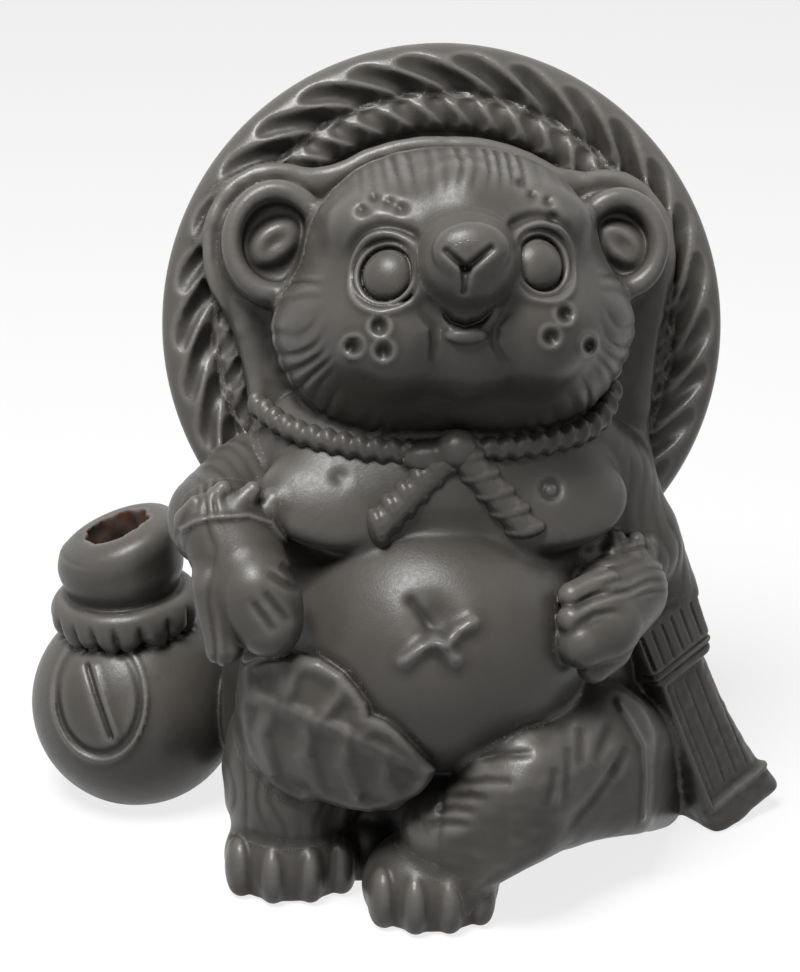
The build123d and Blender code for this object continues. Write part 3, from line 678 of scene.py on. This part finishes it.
def footField(p, side):
    middle, (arcWidth, arcDepth) = legs[side + "Foot"], legs["toeArc"]
    f = egg(p, middle, legs["footHalf"])
    for across in legs[side + "Toes"]:
        share = math.sqrt(1 - (across / arcWidth) ** 2)
        toe = (middle[0] + across, middle[1] - arcDepth * share + legs["toeBack"], legs["toeHeight"])
        f = blendMin(f, egg(p, toe, legs["toeHalf"]), 1)
    return f


tail = {"root": (16, 35.5, 14), "tip": (9.3, 36, 48), "radii": (12, 8)}


def tailField(p):
    return limb(p, tail["root"], tail["tip"], *tail["radii"])


def tailDetail(p):
    return fur(p[:, 2], p[:, 0] + 0.25 * p[:, 2], "tail")


# Leaf

leaf = {
    "bed": (-15, -20, 54), "bedHalf": (44, 44, 46), "back": -22,
    "outline": [
        (-7.5, -117.2), (-12.5, -111), (-16.3, -107.4), (-20, -104.4), (-23.5, -102.6), (-24, -99.6),
        (-26.3, -96.2), (-29.5, -92.4), (-35, -89.4), (-40.5, -88.2), (-47, -88.6), (-53.2, -91),
        (-54.6, -99.5), (-54.6, -108.5), (-53, -115.5), (-49, -121.6), (-43.5, -125.6), (-39.8, -127.2),
        (-35.6, -125.6), (-29.5, -126.8), (-23.3, -128.4), (-16.5, -127.4), (-11, -123.4)],
    "midrib": [(-52, -98), (-42, -101.5), (-31, -106), (-20, -111.5), (-9, -117)],
    "veins": [
        [(-44, -101), (-42, -94), (-40, -90)], [(-36, -104), (-31, -98), (-29, -94)],
        [(-46, -100), (-49, -108), (-47, -118)], [(-38, -103), (-39, -113), (-36, -122)],
        [(-29, -107), (-30, -115), (-27, -123)], [(-26, -108), (-22, -104)],
        [(-20, -112), (-20, -119), (-17, -124)]],
}


# Distance from the leaf's outline in the front plane, less than 0 inside it
def leafEdge(a, u):
    route = leaf["outline"] + leaf["outline"][:1]
    inside = np.zeros(len(a), bool)
    for (a0, u0), (a1, u1) in zip(route, route[1:]):
        crossing = (u0 > u) != (u1 > u)
        if u1 != u0:
            inside ^= crossing & (a < (a1 - a0) * (u - u0) / (u1 - u0) + a0)
    gap = lineDistance(a, u, route)
    return np.where(inside, -gap, gap)


def leafField(p):
    a, u, n = front(p)
    f = blendMax(egg(p, leaf["bed"], leaf["bedHalf"]), leafEdge(a, u), 3)
    return np.maximum(f, leaf["back"] - n)


def leafDetail(p):
    a, u, n = front(p)
    edge = leafEdge(a, u)
    rib = groove(a, u, leaf["midrib"], 3, 1.1)
    for route in leaf["veins"]:
        rib = blendMax(rib, groove(a, u, route, 2.8, 1), 0.5)
    return 2.1 * (1 - rib) * ease((-edge - 1.2) / 4) + 0.5 * grain(p, 6, 27)


# Flask

flask = {
    "middle": (-78.2, 17.8, 25), "radius": 28, "ballTop": 27, "wall": 4, "lean": 4, "bore": 8.4,
    "neckRadius": 16.5, "neckLow": 34.2, "neckTop": 50.8, "rimSlope": 0.26,
    "stem": 14.6, "stemEnds": (18, 44),
    "collar": (16.2, 27.8), "collarHalf": (3.6, 5.2), "collarFolds": 9,
    "medallion": (-90.2, -103.5), "medallionHalf": (11.5, 15.5),
    "scratch": [(-92.8, -95.6), (-90.6, -103), (-87.2, -113.6)],
}
flaskAxes = turnAbout(1, flask["lean"])


def flaskPlace(p):
    return turned(p, flask["middle"], flaskAxes)


def flaskBodyField(p):
    q = flaskPlace(p)
    return blendMax(length(q) - flask["radius"], q[:, 2] - flask["ballTop"], 2)


# The ball's hollow and the bore of the neck, ragged at the mouth
def flaskHollow(p):
    q = flaskPlace(p)
    ragged = 0.9 * grain(q * spot(1, 1, 0.6), 3, 31) * ease((q[:, 2] - 36) / 10)
    ball = np.maximum(length(q) - flask["radius"] + flask["wall"], flask["wall"] - p[:, 2])
    bore = np.hypot(q[:, 0], q[:, 1]) - flask["bore"] + ragged
    return np.minimum(ball, np.maximum(bore, -q[:, 2]))


def flaskNeckField(p):
    q = flaskPlace(p)
    r = np.hypot(q[:, 0], q[:, 1])
    top = flask["neckTop"] + flask["rimSlope"] * q[:, 0]
    roll = blendMax(r - flask["neckRadius"], past(q[:, 2], flask["neckLow"], top), 7)
    stem = np.maximum(r - flask["stem"], past(q[:, 2], *flask["stemEnds"]))
    return blendMin(roll, stem, 2)


def collarField(p):
    x, y, z = flaskPlace(p).T
    sway = 0.8 * np.sin(flask["collarFolds"] * np.arctan2(y, x) + 1) * ease((27 - z) / 4)
    radius, level = flask["collar"]
    return oval(np.hypot(x, y) - radius, z - level - sway, flask["collarHalf"])


def collarDetail(p):
    x, y, z = flaskPlace(p).T
    angle = np.arctan2(y, x)
    low = ease((31.5 - z) / 5)
    fold = np.abs(np.sin(flask["collarFolds"] * angle + 0.5 + 0.5 * np.sin(3 * angle) + 0.06 * z))
    return 1.5 * low * (1 - fold) ** 1.5


def flaskDetail(p):
    a, u, n = front(p)
    ahead = ease((-p[:, 1] + 14) / 8)
    (across, up), (halfAcross, halfUp) = flask["medallion"], flask["medallionHalf"]
    k = np.hypot((a - across) / halfAcross, (u - up) / halfUp)
    lower = 0.35 + 0.65 * ease((up - u + 6) / 10)
    d = ahead * (0.9 * bell(k - 0.93, 0.09) - 0.8 * bell(k - 1.06, 0.06)) * lower
    d += ahead * groove(a, u, flask["scratch"], 0.8, 1.1)
    return d - ahead * 0.5 * groove(a, u, [(s + 1.6, t) for s, t in flask["scratch"]], 0.8, 1)


# Ledger

ledger = {
    "middle": (62.7, -8.75, 34), "turn": 31, "lean": 10, "roll": 19,
    "halfLength": 33, "left": -10.25, "waist": 8.6, "sag": 3.5, "taper": 1.9, "halfThickness": 10,
    "foot": 4, "bandLow": 13, "bandHigh": 31, "bandProud": 1.6,
    "panelSides": (-7.4, 8.2), "panelEnds": (-26, 11), "ruleGap": 4.2,
    "ribGap": 3.4, "ribEnds": (17.5, 29), "bandGrooves": (16.6, 14.6),
}
ledgerAxes = turnAbout(2, ledger["turn"]) @ turnAbout(0, -ledger["lean"]) @ turnAbout(1, -ledger["roll"])


def ledgerPlace(p):
    return turned(p, ledger["middle"], ledgerAxes.T).T


def ledgerSlab(p, proud, low, high):
    x, y, z = ledgerPlace(p)
    t = z / ledger["halfLength"]
    right = ledger["waist"] + ledger["sag"] * t * t - ledger["taper"] * t
    f = blendMax(x - right - proud, ledger["left"] - proud - x, 2)
    f = blendMax(f, np.abs(y) - ledger["halfThickness"] - proud, 3)
    return blendMax(f, past(z, low, high), 3)


def ledgerField(p):
    return ledgerSlab(p, 0, -ledger["halfLength"] - ledger["foot"], ledger["halfLength"])


def ledgerBandField(p):
    return ledgerSlab(p, ledger["bandProud"], ledger["bandLow"], ledger["bandHigh"])


# A sunk panel with plain ruled lines
def ledgerDetail(p):
    x, y, z = ledgerPlace(p)
    (left, right), (low, high) = ledger["panelSides"], ledger["panelEnds"]
    cover = ease((-y - 6) / 2)
    inset = np.maximum(past(x, left, right + 0.12 * (8 - z)), past(z, low, high))
    d = cover * (1.3 * ease((1.2 - inset) / 1.6) - 0.6 * bell(inset - 1.6, 0.8))
    rule = np.abs(np.sin((x + 1) * math.pi / ledger["ruleGap"]))
    d += cover * ease((-inset - 1) / 1.5) * 0.5 * (1 - ease(rule / 0.35))
    return d + 0.2 * grain(p, 2.5, 33)


def ledgerBandDetail(p):
    x, y, z = ledgerPlace(p)
    cover = ease((-y - 6) / 2)
    rib = np.abs(np.sin(x * math.pi / ledger["ribGap"]))
    low, high = ledger["ribEnds"]
    d = cover * 0.9 * (1 - ease(rib / 0.6)) * ease(z - low) * ease(high - z)
    return d + cover * 0.8 * sum(bell(z - level, 0.5) for level in ledger["bandGrooves"])


knot = {
    "ball": (2, -36.2, 115.5), "ballHalf": (5, 4.6, 5),
    "loop": (-4.5, -35.6, 113.6), "loopHalf": (6.5, 4, 4),
}


def knotField(p):
    return blendMin(egg(p, knot["ball"], knot["ballHalf"]), egg(p, knot["loop"], knot["loopHalf"]), 1.5)


# Rows for both sides of one form
def pair(name, field, *row):
    return {f"{name}_{side}": (lambda p, side=side: field(p, side), *row) for side in ("right", "left")}


# The pieces: field, soft join, detail and mesh step, in the order that they are stuck on
forms = {
    "torso_front_shell": (torsoField, 1, torsoDetail, 0.75),
    "hat_dish": (dishField, 3, dishDetail, 0.9),
    "hat_rim_roll": (rollField, 1.5, rollDetail, 0.7),
    "hat_inner_band": (bandField, 1.2, bandDetail, 0.6),
    "head_back_shell": (backField, 2, haloDetail, 0.7),
    "face_shell": (headField, 2, faceDetail, 0.55),
    **pair("ear", earField, 2.5, None, 0.55),
    "muzzle": (lambda p: faceEgg(p, "muzzle"), 5, muzzleDetail, 0.45),
    "nose": (lambda p: faceEgg(p, "nose"), 1.5, muzzleDetail, 0.45),
    "lower_lip": (lambda p: faceEgg(p, "lip"), 1, None, 0.4),
    **pair("eyelid_ring", lidField, 0.6, None, 0.4),
    **pair("eyeball", ballField, 0.3, None, 0.4),
    "upper_arm_right": (lambda p: armField(p, "right"), 4, armDetail, 0.6),
    "upper_arm_left": (lambda p: armField(p, "left"), 5, armDetail, 0.6),
    "leg_right": (lambda p: egg(p, legs["rightMiddle"], legs["rightHalf"]), 4, rightLegDetail, 0.7),
    "leg_left": (leftLegField, 3, leftLegDetail, 0.7),
    **pair("foot", footField, 2, None, 0.55),
    "leaf": (leafField, 1.2, leafDetail, 0.55),
    "paw_right": (lambda p: pawField(p, "right"), 1.2, rightPawDetail, 0.5),
    "paw_left": (lambda p: pawField(p, "left"), 1.2, leftPawDetail, 0.5),
    "tail": (tailField, 4, tailDetail, 0.7),
    "flask_body": (flaskBodyField, 2.5, flaskDetail, 0.7),
    "flask_neck": (flaskNeckField, 1, None, 0.6),
    "flask_collar": (collarField, 1.5, collarDetail, 0.5),
    "ledger_block": (ledgerField, 3, ledgerDetail, 0.6),
    "ledger_band": (ledgerBandField, 0.8, ledgerBandDetail, 0.5),
    "cord_knot": (knotField, 1, None, 0.4),
}
sharedForm = {"torso_back_shell": "torso_front_shell"}
hollows = {
    "torso_front_shell": torsoHollow, "torso_back_shell": torsoHollow, "face_shell": headHollow,
    "head_back_shell": headHollow, "flask_body": flaskHollow, "flask_neck": flaskHollow,
}
halves = {
    "torso_front_shell": lambda p: p[:, 1] - torso["seam"],
    "torso_back_shell": lambda p: torso["seam"] - p[:, 1],
    "face_shell": lambda p: head["seam"] - front(p)[2],
}
# How far a form may stand out of its solid's box, and where that is more than usual
boxRoom, nearRoom = 6, 7
reachOut = {"upper_arm_left": 11, "leg_left": 14, "paw_right": 9, "paw_left": 9}
overlap = 1  # how far neighbours run into each other under the skin
markFade = 2.2  # how far a piece's marks run on over its neighbours
groundRound = 1.5  # rounding where the clay meets the ground
blockCells = 5


boxes = {node: np.array(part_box(node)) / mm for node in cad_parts}


# The whole clay skin near some points, and how far each form is
def skin(p, near):
    raw = {node: forms[node][0](p) for node in near}
    total = None
    for node in near:
        total = raw[node] if total is None else blendMin(total, raw[node], forms[node][1])
    marked = total.copy()
    for node in near:
        detail = forms[node][2]
        if detail:
            weight = ease(1 - (raw[node] - total) / markFade)
            some = weight > 0.01
            if some.any():
                marked[some] += weight[some] * detail(p[some])
    return blendMax(marked, -p[:, 2], groundRound), raw


def pieceField(p, node, near):
    own = sharedForm.get(node, node)
    total, raw = skin(p, near)
    others = [raw[name] for name in near if name != own]
    g = total
    if others:
        g = np.maximum(g, 0.5 * (raw[own] - np.minimum.reduce(others)) - overlap)
    if node in halves:
        g = np.maximum(g, halves[node](p) - overlap)
    if node in hollows:
        g = np.maximum(g, -hollows[node](p))
    return g


def gridPoints(axes):
    return np.stack(np.meshgrid(*axes, indexing="ij"), -1).reshape(-1, 3)


# Meshes one piece: blocks near its skin are worked out on a fine grid
def carve(node):
    own = sharedForm.get(node, node)
    step, block = forms[own][3], blockCells
    room = reachOut.get(node, boxRoom)
    low, high = boxes[node][0] - room, boxes[node][1] + room

    def isNear(name):
        reach = nearRoom + reachOut.get(name, 0)
        return (boxes[name][0] - reach < high).all() and (boxes[name][1] + reach > low).all()

    near = [name for name in forms if name == own or isNear(name)]
    counts = np.ceil((high - low) / (step * block)).astype(int)
    first = low + step * (block - 1) / 2
    middles = gridPoints([first[i] + step * block * np.arange(counts[i]) for i in range(3)])
    rough = pieceField(middles.astype(np.float32), node, near)
    grid = np.where(rough < 0, -2.0, 2.0).astype(np.float32).reshape(counts)
    for axis in range(3):
        grid = np.repeat(grid, block, axis)
    active = np.abs(rough) < step * block * 0.9 + 1.2
    corner = np.stack(np.unravel_index(np.where(active)[0], counts), 1) * block
    offset = gridPoints([np.arange(block)] * 3)
    cells = (corner[:, None, :] + offset[None]).reshape(-1, 3)
    grid[tuple(cells.T)] = np.clip(pieceField((low + step * cells).astype(np.float32), node, near), -2, 2)
    grid[[0, -1]] = grid[:, [0, -1]] = grid[:, :, [0, -1]] = 2.0
    volume = openvdb.FloatGrid(2.0)
    volume.copyFromArray(grid)
    points, quads = volume.convertToQuads(isovalue=0.0)
    points = (low + step * points).astype(np.float32)
    for turn in range(2):
        value = np.clip(pieceField(points, node, near), -0.5 * step, 0.5 * step)
        points -= value[:, None] * 0.8 * normals(points, quads)
    return points, quads


def normals(points, quads):
    across = points[quads[:, 2]] - points[quads[:, 0]]
    out = np.cross(across, points[quads[:, 3]] - points[quads[:, 1]])
    total = np.zeros_like(points)
    for corner in range(4):
        for axis in range(3):
            total[:, axis] += np.bincount(quads[:, corner], out[:, axis], len(points))
    return total / np.maximum(np.linalg.norm(total, axis=1), 1e-9)[:, None]


# How far each point stands out of its surroundings: raised points get a burnished tone with a painted sheen,
# and hollows get painted shade
def standOut(points, quads, turns=7):
    soft = points.copy()
    ends = np.concatenate([quads[:, [i, (i + 1) % 4]] for i in range(4)])
    count = np.maximum(np.bincount(ends[:, 0], minlength=len(points)), 1)
    for turn in range(turns):
        soft = np.stack([
            np.bincount(ends[:, 0], soft[ends[:, 1], axis], len(points)) / count for axis in range(3)], 1)
    return ((points - soft) * normals(points, quads)).sum(1)


def camel(node):
    first, *rest = node.split("_")
    return first + "".join(word.capitalize() for word in rest) + "Clay"


def addObject(name, data):
    thing = bpy.data.objects.new(name, data)
    bpy.context.scene.collection.objects.link(thing)
    return thing


def meshPiece(name, points, quads, material):
    mesh = bpy.data.meshes.new(name)
    mesh.vertices.add(len(points))
    mesh.vertices.foreach_set("co", (points * mm).astype(np.float32).ravel())
    mesh.loops.add(quads.size)
    mesh.loops.foreach_set("vertex_index", quads.astype(np.int32).ravel())
    mesh.polygons.add(len(quads))
    mesh.polygons.foreach_set("loop_start", np.arange(0, quads.size, 4, dtype=np.int32))
    mesh.polygons.foreach_set("loop_total", np.full(len(quads), 4, np.int32))
    mesh.update(calc_edges=True)
    mesh.shade_smooth()
    mesh.materials.append(material)
    return addObject(name, mesh)


def addMark(mesh, name, values):
    mark = mesh.attributes.new(name, "FLOAT", "POINT")
    mark.data.foreach_set("value", np.ascontiguousarray(values, np.float32))


def settle(piece, node):
    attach(piece, "root")
    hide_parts(node)


# Finishes

# The lightest tone is burnished clay with a painted sheen on raised parts; the darkest is painted shade in
# hollows
smoke = {
    "dark": (0.046, 0.0415, 0.0360, 1), "light": (0.072, 0.0660, 0.0580, 1), "worn": (0.150, 0.142, 0.132, 1),
    "soot": (0.020, 0.018, 0.016, 1), "rust": (0.060, 0.022, 0.012, 1), "roughness": (0.34, 0.41),
    "shader": {"Specular IOR Level": 0.36}, "bump": {"Strength": 0.45, "Distance": 0.00022},
}
earth = {
    "dark": (0.05, 0.022, 0.014, 1), "light": (0.13, 0.055, 0.032, 1),
    "shader": {"Roughness": 0.85}, "bump": {"Distance": 0.0003},
}


# Inputs that are sockets are linked, and the others are set
def feed(tree, node, inputs):
    for name, value in inputs.items():
        for part in value if isinstance(value, list) else [value]:
            if isinstance(part, bpy.types.NodeSocket):
                tree.links.new(part, node.inputs[name])
            else:
                node.inputs[name].default_value = part


def addNode(tree, kind, inputs, **settings):
    node = tree.nodes.new(kind)
    for name, value in settings.items():
        setattr(node, name, value)
    feed(tree, node, inputs)
    return node.outputs


def noise(tree, scale, detail):
    place = addNode(tree, "ShaderNodeTexCoord", {})["Object"]
    return addNode(tree, "ShaderNodeTexNoise", {"Vector": place, "Scale": scale, "Detail": detail})["Fac"]


def attribute(tree, name):
    return addNode(tree, "ShaderNodeAttribute", {}, attribute_name=name)["Fac"]


def ramp(tree, value, low, high):
    ends = {"From Min": low[0], "From Max": low[1], "To Min": high[0], "To Max": high[1]}
    return addNode(tree, "ShaderNodeMapRange", {"Value": value, **ends})["Result"]


def mix(tree, factor, first, second):
    inputs = {"Factor": factor, "A": first, "B": second}
    return addNode(tree, "ShaderNodeMix", inputs, data_type="RGBA")["Result"]


def combine(tree, operation, first, second):
    return addNode(tree, "ShaderNodeMath", {0: first, 1: second}, operation=operation)["Value"]


def newFinish(name):
    finish = bpy.data.materials.new(name)
    finish.use_nodes = True
    return finish, finish.node_tree


def coat(tree, look, height, inputs):
    normal = addNode(tree, "ShaderNodeBump", {"Height": height, **look["bump"]})["Normal"]
    feed(tree, tree.nodes["Principled BSDF"], {**look["shader"], **inputs, "Normal": normal})


# Cloudy grey, burnished with a painted sheen on what stands out, with painted shade in what lies deep, rusty
# where it is bare
def smokedClay():
    finish, tree = newFinish("smokedClay")
    cloud, speck, fine, finest = (noise(tree, *size) for size in ((55, 5), (900, 3), (420, 4), (1900, 2)))
    rise, bare = attribute(tree, "rise"), attribute(tree, "bare")
    tone = mix(tree, ramp(tree, cloud, (0.3, 0.7), (0, 1)), smoke["dark"], smoke["light"])
    # Raised parts: burnished tone with a painted sheen
    tone = mix(tree, ramp(tree, rise, (0.02, 0.4), (0, 0.75)), tone, smoke["worn"])
    # Hollows: painted shade, darker the deeper they lie
    tone = mix(tree, ramp(tree, rise, (-0.03, -0.45), (0, 0.8)), tone, smoke["soot"])
    rust = ramp(tree, noise(tree, 260, 4), (0.35, 0.65), (0.25, 1.0))
    tone = mix(tree, combine(tree, "MULTIPLY", bare, rust), tone, smoke["rust"])
    gloss = ramp(tree, cloud, (0.3, 0.7), smoke["roughness"])
    for value, low, high in (
            (speck, (0.3, 0.7), (-0.05, 0.05)), (rise, (-0.4, 0.4), (0.10, -0.05)), (bare, (0, 1), (0, 0.3))):
        gloss = combine(tree, "ADD", gloss, ramp(tree, value, low, high))
    height = combine(tree, "ADD", ramp(tree, fine, (0, 1), (0, 0.6)), ramp(tree, finest, (0, 1), (0, 0.4)))
    coat(tree, smoke, height, {"Base Color": tone, "Roughness": gloss})
    return finish


def bareClay():
    finish, tree = newFinish("bareClay")
    cloud = noise(tree, 120, 6)
    coat(tree, earth, cloud, {"Base Color": mix(tree, cloud, earth["dark"], earth["light"])})
    return finish


clay = smokedClay()


# Unsmoked clay: inside the flask and low on the feet
def bareShare(node, points):
    share = np.zeros(len(points), np.float32)
    if node.startswith("flask"):
        share = ease((0.8 - flaskHollow(points)) / 0.8)
    low = ease((5.5 + 3 * grain(points, 9, 41) - points[:, 2]) / 5)
    return np.maximum(share, 0.55 * low)


for node in list(forms) + list(sharedForm):
    points, quads = carve(node)
    piece = meshPiece(camel(node), points, quads, clay)
    # The rise mark drives the burnished tone with painted sheen on raised parts and the painted shade in
    # hollows
    addMark(piece.data, "rise", np.clip(standOut(points, quads) / 0.55, -1, 1))
    addMark(piece.data, "bare", bareShare(node, points))
    settle(piece, node)
    print("carved", node, len(quads) * 2, "triangles")


# Rope: lumps strung along a line and pressed into one

def lumpTree():
    tree = bpy.data.node_groups.new("lumpString", "GeometryNodeTree")
    sockets = {}
    for way in ("INPUT", "OUTPUT"):
        tree.interface.new_socket("Geometry", in_out=way, socket_type="NodeSocketGeometry")
    for name, kind in (("pitch", "Float"), ("size", "Vector"), ("slant", "Float"),
                       ("core", "Float"), ("voxel", "Float"), ("clay", "Material")):
        socket = tree.interface.new_socket(name, in_out="INPUT", socket_type="NodeSocket" + kind)
        sockets[name] = socket.identifier

    def add(kind, output, inputs, **settings):
        return addNode(tree, "GeometryNode" + kind, inputs, **settings)[output]

    source = addNode(tree, "NodeGroupInput", {})
    line = source["Geometry"]
    points = addNode(
        tree, "GeometryNodeCurveToPoints", {"Curve": line, "Length": source["pitch"]}, mode="LENGTH")
    lump = add("MeshUVSphere", "Mesh", {"Segments": 16, "Rings": 10, "Radius": 1.0})
    strung = add("InstanceOnPoints", "Instances", {
        "Points": points["Points"], "Instance": lump,
        "Rotation": points["Rotation"], "Scale": source["size"]})
    turn = addNode(tree, "ShaderNodeCombineXYZ", {"X": source["slant"]})["Vector"]
    slanted = add("RotateInstances", "Instances", {"Instances": strung, "Rotation": turn})
    real = add("RealizeInstances", "Geometry", {"Geometry": slanted})
    profile = add("CurvePrimitiveCircle", "Curve", {"Resolution": 16, "Radius": source["core"]})
    core = add("CurveToMesh", "Mesh", {"Curve": line, "Profile Curve": profile, "Fill Caps": True})
    both = add("JoinGeometry", "Geometry", {"Geometry": [real, core]})
    pressed = add("MeshToVolume", "Volume", {
        "Mesh": both, "Voxel Size": source["voxel"], "Interior Band Width": 0.002},
        resolution_mode="VOXEL_SIZE")
    rind = add("VolumeToMesh", "Mesh", {"Volume": pressed, "Threshold": 0.1})
    smooth = add("SetShadeSmooth", "Geometry", {"Geometry": rind})
    finish = add("SetMaterial", "Geometry", {"Geometry": smooth, "Material": source["clay"]})
    addNode(tree, "NodeGroupOutput", {"Geometry": finish})
    return tree, sockets


lumpString, lumpSockets = lumpTree()


def stringLumps(node, route, style, hand):
    line = bpy.data.curves.new(node, "CURVE")
    line.dimensions = "3D"
    line.twist_mode = "Z_UP"
    spline = line.splines.new("NURBS")
    spline.points.add(len(route) - 1)
    for point, place in zip(spline.points, route):
        point.co = (*(Vector(place) * mm), 1)
    spline.order_u = 3
    spline.use_endpoint_u = True
    spline.resolution_u = 12
    holder = addObject(camel(node) + "Line", line)
    modifier = holder.modifiers.new("lumpString", "NODES")
    modifier.node_group = lumpString
    values = {name: style[name] * mm for name in ("pitch", "core", "voxel")}
    values["size"] = [s * mm for s in style["size"]]
    values["slant"] = math.radians(hand * style["slant"])
    values["clay"] = clay
    for name, value in values.items():
        modifier[lumpSockets[name]] = value
    shaped = bpy.data.meshes.new_from_object(holder.evaluated_get(bpy.context.evaluated_depsgraph_get()))
    bpy.data.objects.remove(holder)
    shaped.name = camel(node)
    piece = addObject(camel(node), shaped)
    # A fixed rise gives the rope a burnished tone with a painted sheen
    addMark(shaped, "rise", np.full(len(shaped.vertices), style["wear"]))
    addMark(shaped, "bare", np.zeros(len(shaped.vertices)))
    settle(piece, node)
    print("strung", node, len(shaped.polygons), "faces")


rope = {
    "right": [
        (-44.5, -13, 119.5), (-41.5, -18, 118), (-36, -24, 116.4), (-28.5, -28.6, 115.6), (-19, -32.2, 114.8),
        (-9, -34.2, 114.4), (0, -35, 114.6)],
    "left": [
        (5, -35, 115), (14, -33.6, 114.4), (24, -30.6, 114.4), (33, -26.2, 115), (39.5, -20.5, 117),
        (42, -14.5, 121.5)],
    "tailRight": [(0, -36, 113.5), (-6, -37, 108), (-12, -38.5, 102.5), (-17, -40, 97.5)],
    "tailLeft": [(3.5, -36.5, 114), (8.5, -37.5, 108), (13.5, -38.5, 102), (18, -39.5, 96.5)],
    # The last number of each style lifts the rope's tone as burnished clay with a painted sheen
    "style": {"pitch": 3.9, "size": (3, 3.9, 2.2), "slant": 28, "core": 2.5, "voxel": 0.4, "wear": 0.15},
    "tailStyle": {"pitch": 4.6, "size": (4.2, 5.6, 2.9), "slant": 30, "core": 4, "voxel": 0.4, "wear": 0.15},
}
for node, route, style, hand in (
        ("hat_cord_right", "right", "style", 1), ("hat_cord_left", "left", "style", -1),
        ("cord_tail_right", "tailRight", "tailStyle", 1), ("cord_tail_left", "tailLeft", "tailStyle", -1)):
    stringLumps(node, rope[route], rope[style], hand)

# The floor slab of the casting stays as it is, in bare clay
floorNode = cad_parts["base_floor"]
floorNode.data.materials.clear()
floorNode.data.materials.append(bareClay())


# Camera, floor and light

camera = {
    "azimuth": -4, "elevation": 22, "distance": 0.640, "target": (-0.009, 0, 0.092),
    "lens": 93.63, "sensor": 36, "clip": (0.05, 20),
}
lights = {
    "keyLight": {"place": (-0.28, -0.33, 1.03), "target": (0, 0, 0.1), "size": 0.52, "power": 16},
    "sideLight": {"place": (0.9, 0.1, 0.7), "target": (0, 0, 0.09), "size": 0.6, "power": 0.8},
}
backdrop = {
    "floorHalf": 4, "paper": (0.2, 0.2, 0.2, 1), "paperGlow": 0.80,
    "white": (1, 1, 1, 1), "levels": (0.06, 1.0),
}


def aim(thing, direction):
    thing.rotation_mode = "QUATERNION"
    thing.rotation_quaternion = direction.to_track_quat("-Z", "Y")


def placeCamera():
    azimuth, elevation = math.radians(camera["azimuth"]), math.radians(camera["elevation"])
    level = math.cos(elevation)
    back = Vector((math.sin(azimuth) * level, -math.cos(azimuth) * level, math.sin(elevation)))
    data = bpy.data.cameras.new("camera")
    data.sensor_width, data.lens = camera["sensor"], camera["lens"]
    data.clip_start, data.clip_end = camera["clip"]
    eye = addObject("camera", data)
    eye.location = Vector(camera["target"]) + back * camera["distance"]
    aim(eye, -back)
    bpy.context.scene.camera = eye


def lamp(name, place, target, size, power):
    data = bpy.data.lights.new(name, "AREA")
    data.shape = "DISK"
    data.size, data.energy = size, power
    light = addObject(name, data)
    light.location = place
    aim(light, Vector(target) - Vector(place))


# Rays that see the white background: from the camera, by a mirror or through glass
def straightRays(tree):
    path = addNode(tree, "ShaderNodeLightPath", {})
    total = path["Is Camera Ray"]
    for name in ("Is Glossy Ray", "Is Transmission Ray"):
        total = combine(tree, "MAXIMUM", total, path[name])
    return total


# A floor that keeps the shadow and glows white for those rays, in a white world
def studio():
    half = backdrop["floorHalf"]
    mesh = bpy.data.meshes.new("studioFloor")
    corners = [(-half, -half, 0), (half, -half, 0), (half, half, 0), (-half, half, 0)]
    mesh.from_pydata(corners, [], [(0, 1, 2, 3)])
    floor = addObject("studioFloor", mesh)
    paper, tree = newFinish("paper")
    tree.nodes.remove(tree.nodes["Principled BSDF"])
    plain = addNode(tree, "ShaderNodeBsdfDiffuse", {"Color": backdrop["paper"]})[0]
    glow = addNode(tree, "ShaderNodeEmission", {"Strength": backdrop["paperGlow"]})[0]
    both = addNode(tree, "ShaderNodeAddShader", {0: plain, 1: glow})[0]
    choice = addNode(tree, "ShaderNodeMixShader", {0: straightRays(tree), 1: plain, 2: both})[0]
    feed(tree, tree.nodes["Material Output"], {"Surface": choice})
    mesh.materials.append(paper)
    world = bpy.data.worlds.new("studio")
    bpy.context.scene.world = world
    world.use_nodes = True
    tree = world.node_tree
    strength = ramp(tree, straightRays(tree), (0, 1), backdrop["levels"])
    feed(tree, tree.nodes["Background"], {"Color": backdrop["white"], "Strength": strength})
    for name, light in lights.items():
        lamp(name, **light)
    bpy.context.scene.view_settings.view_transform = "Standard"


placeCamera()
studio()
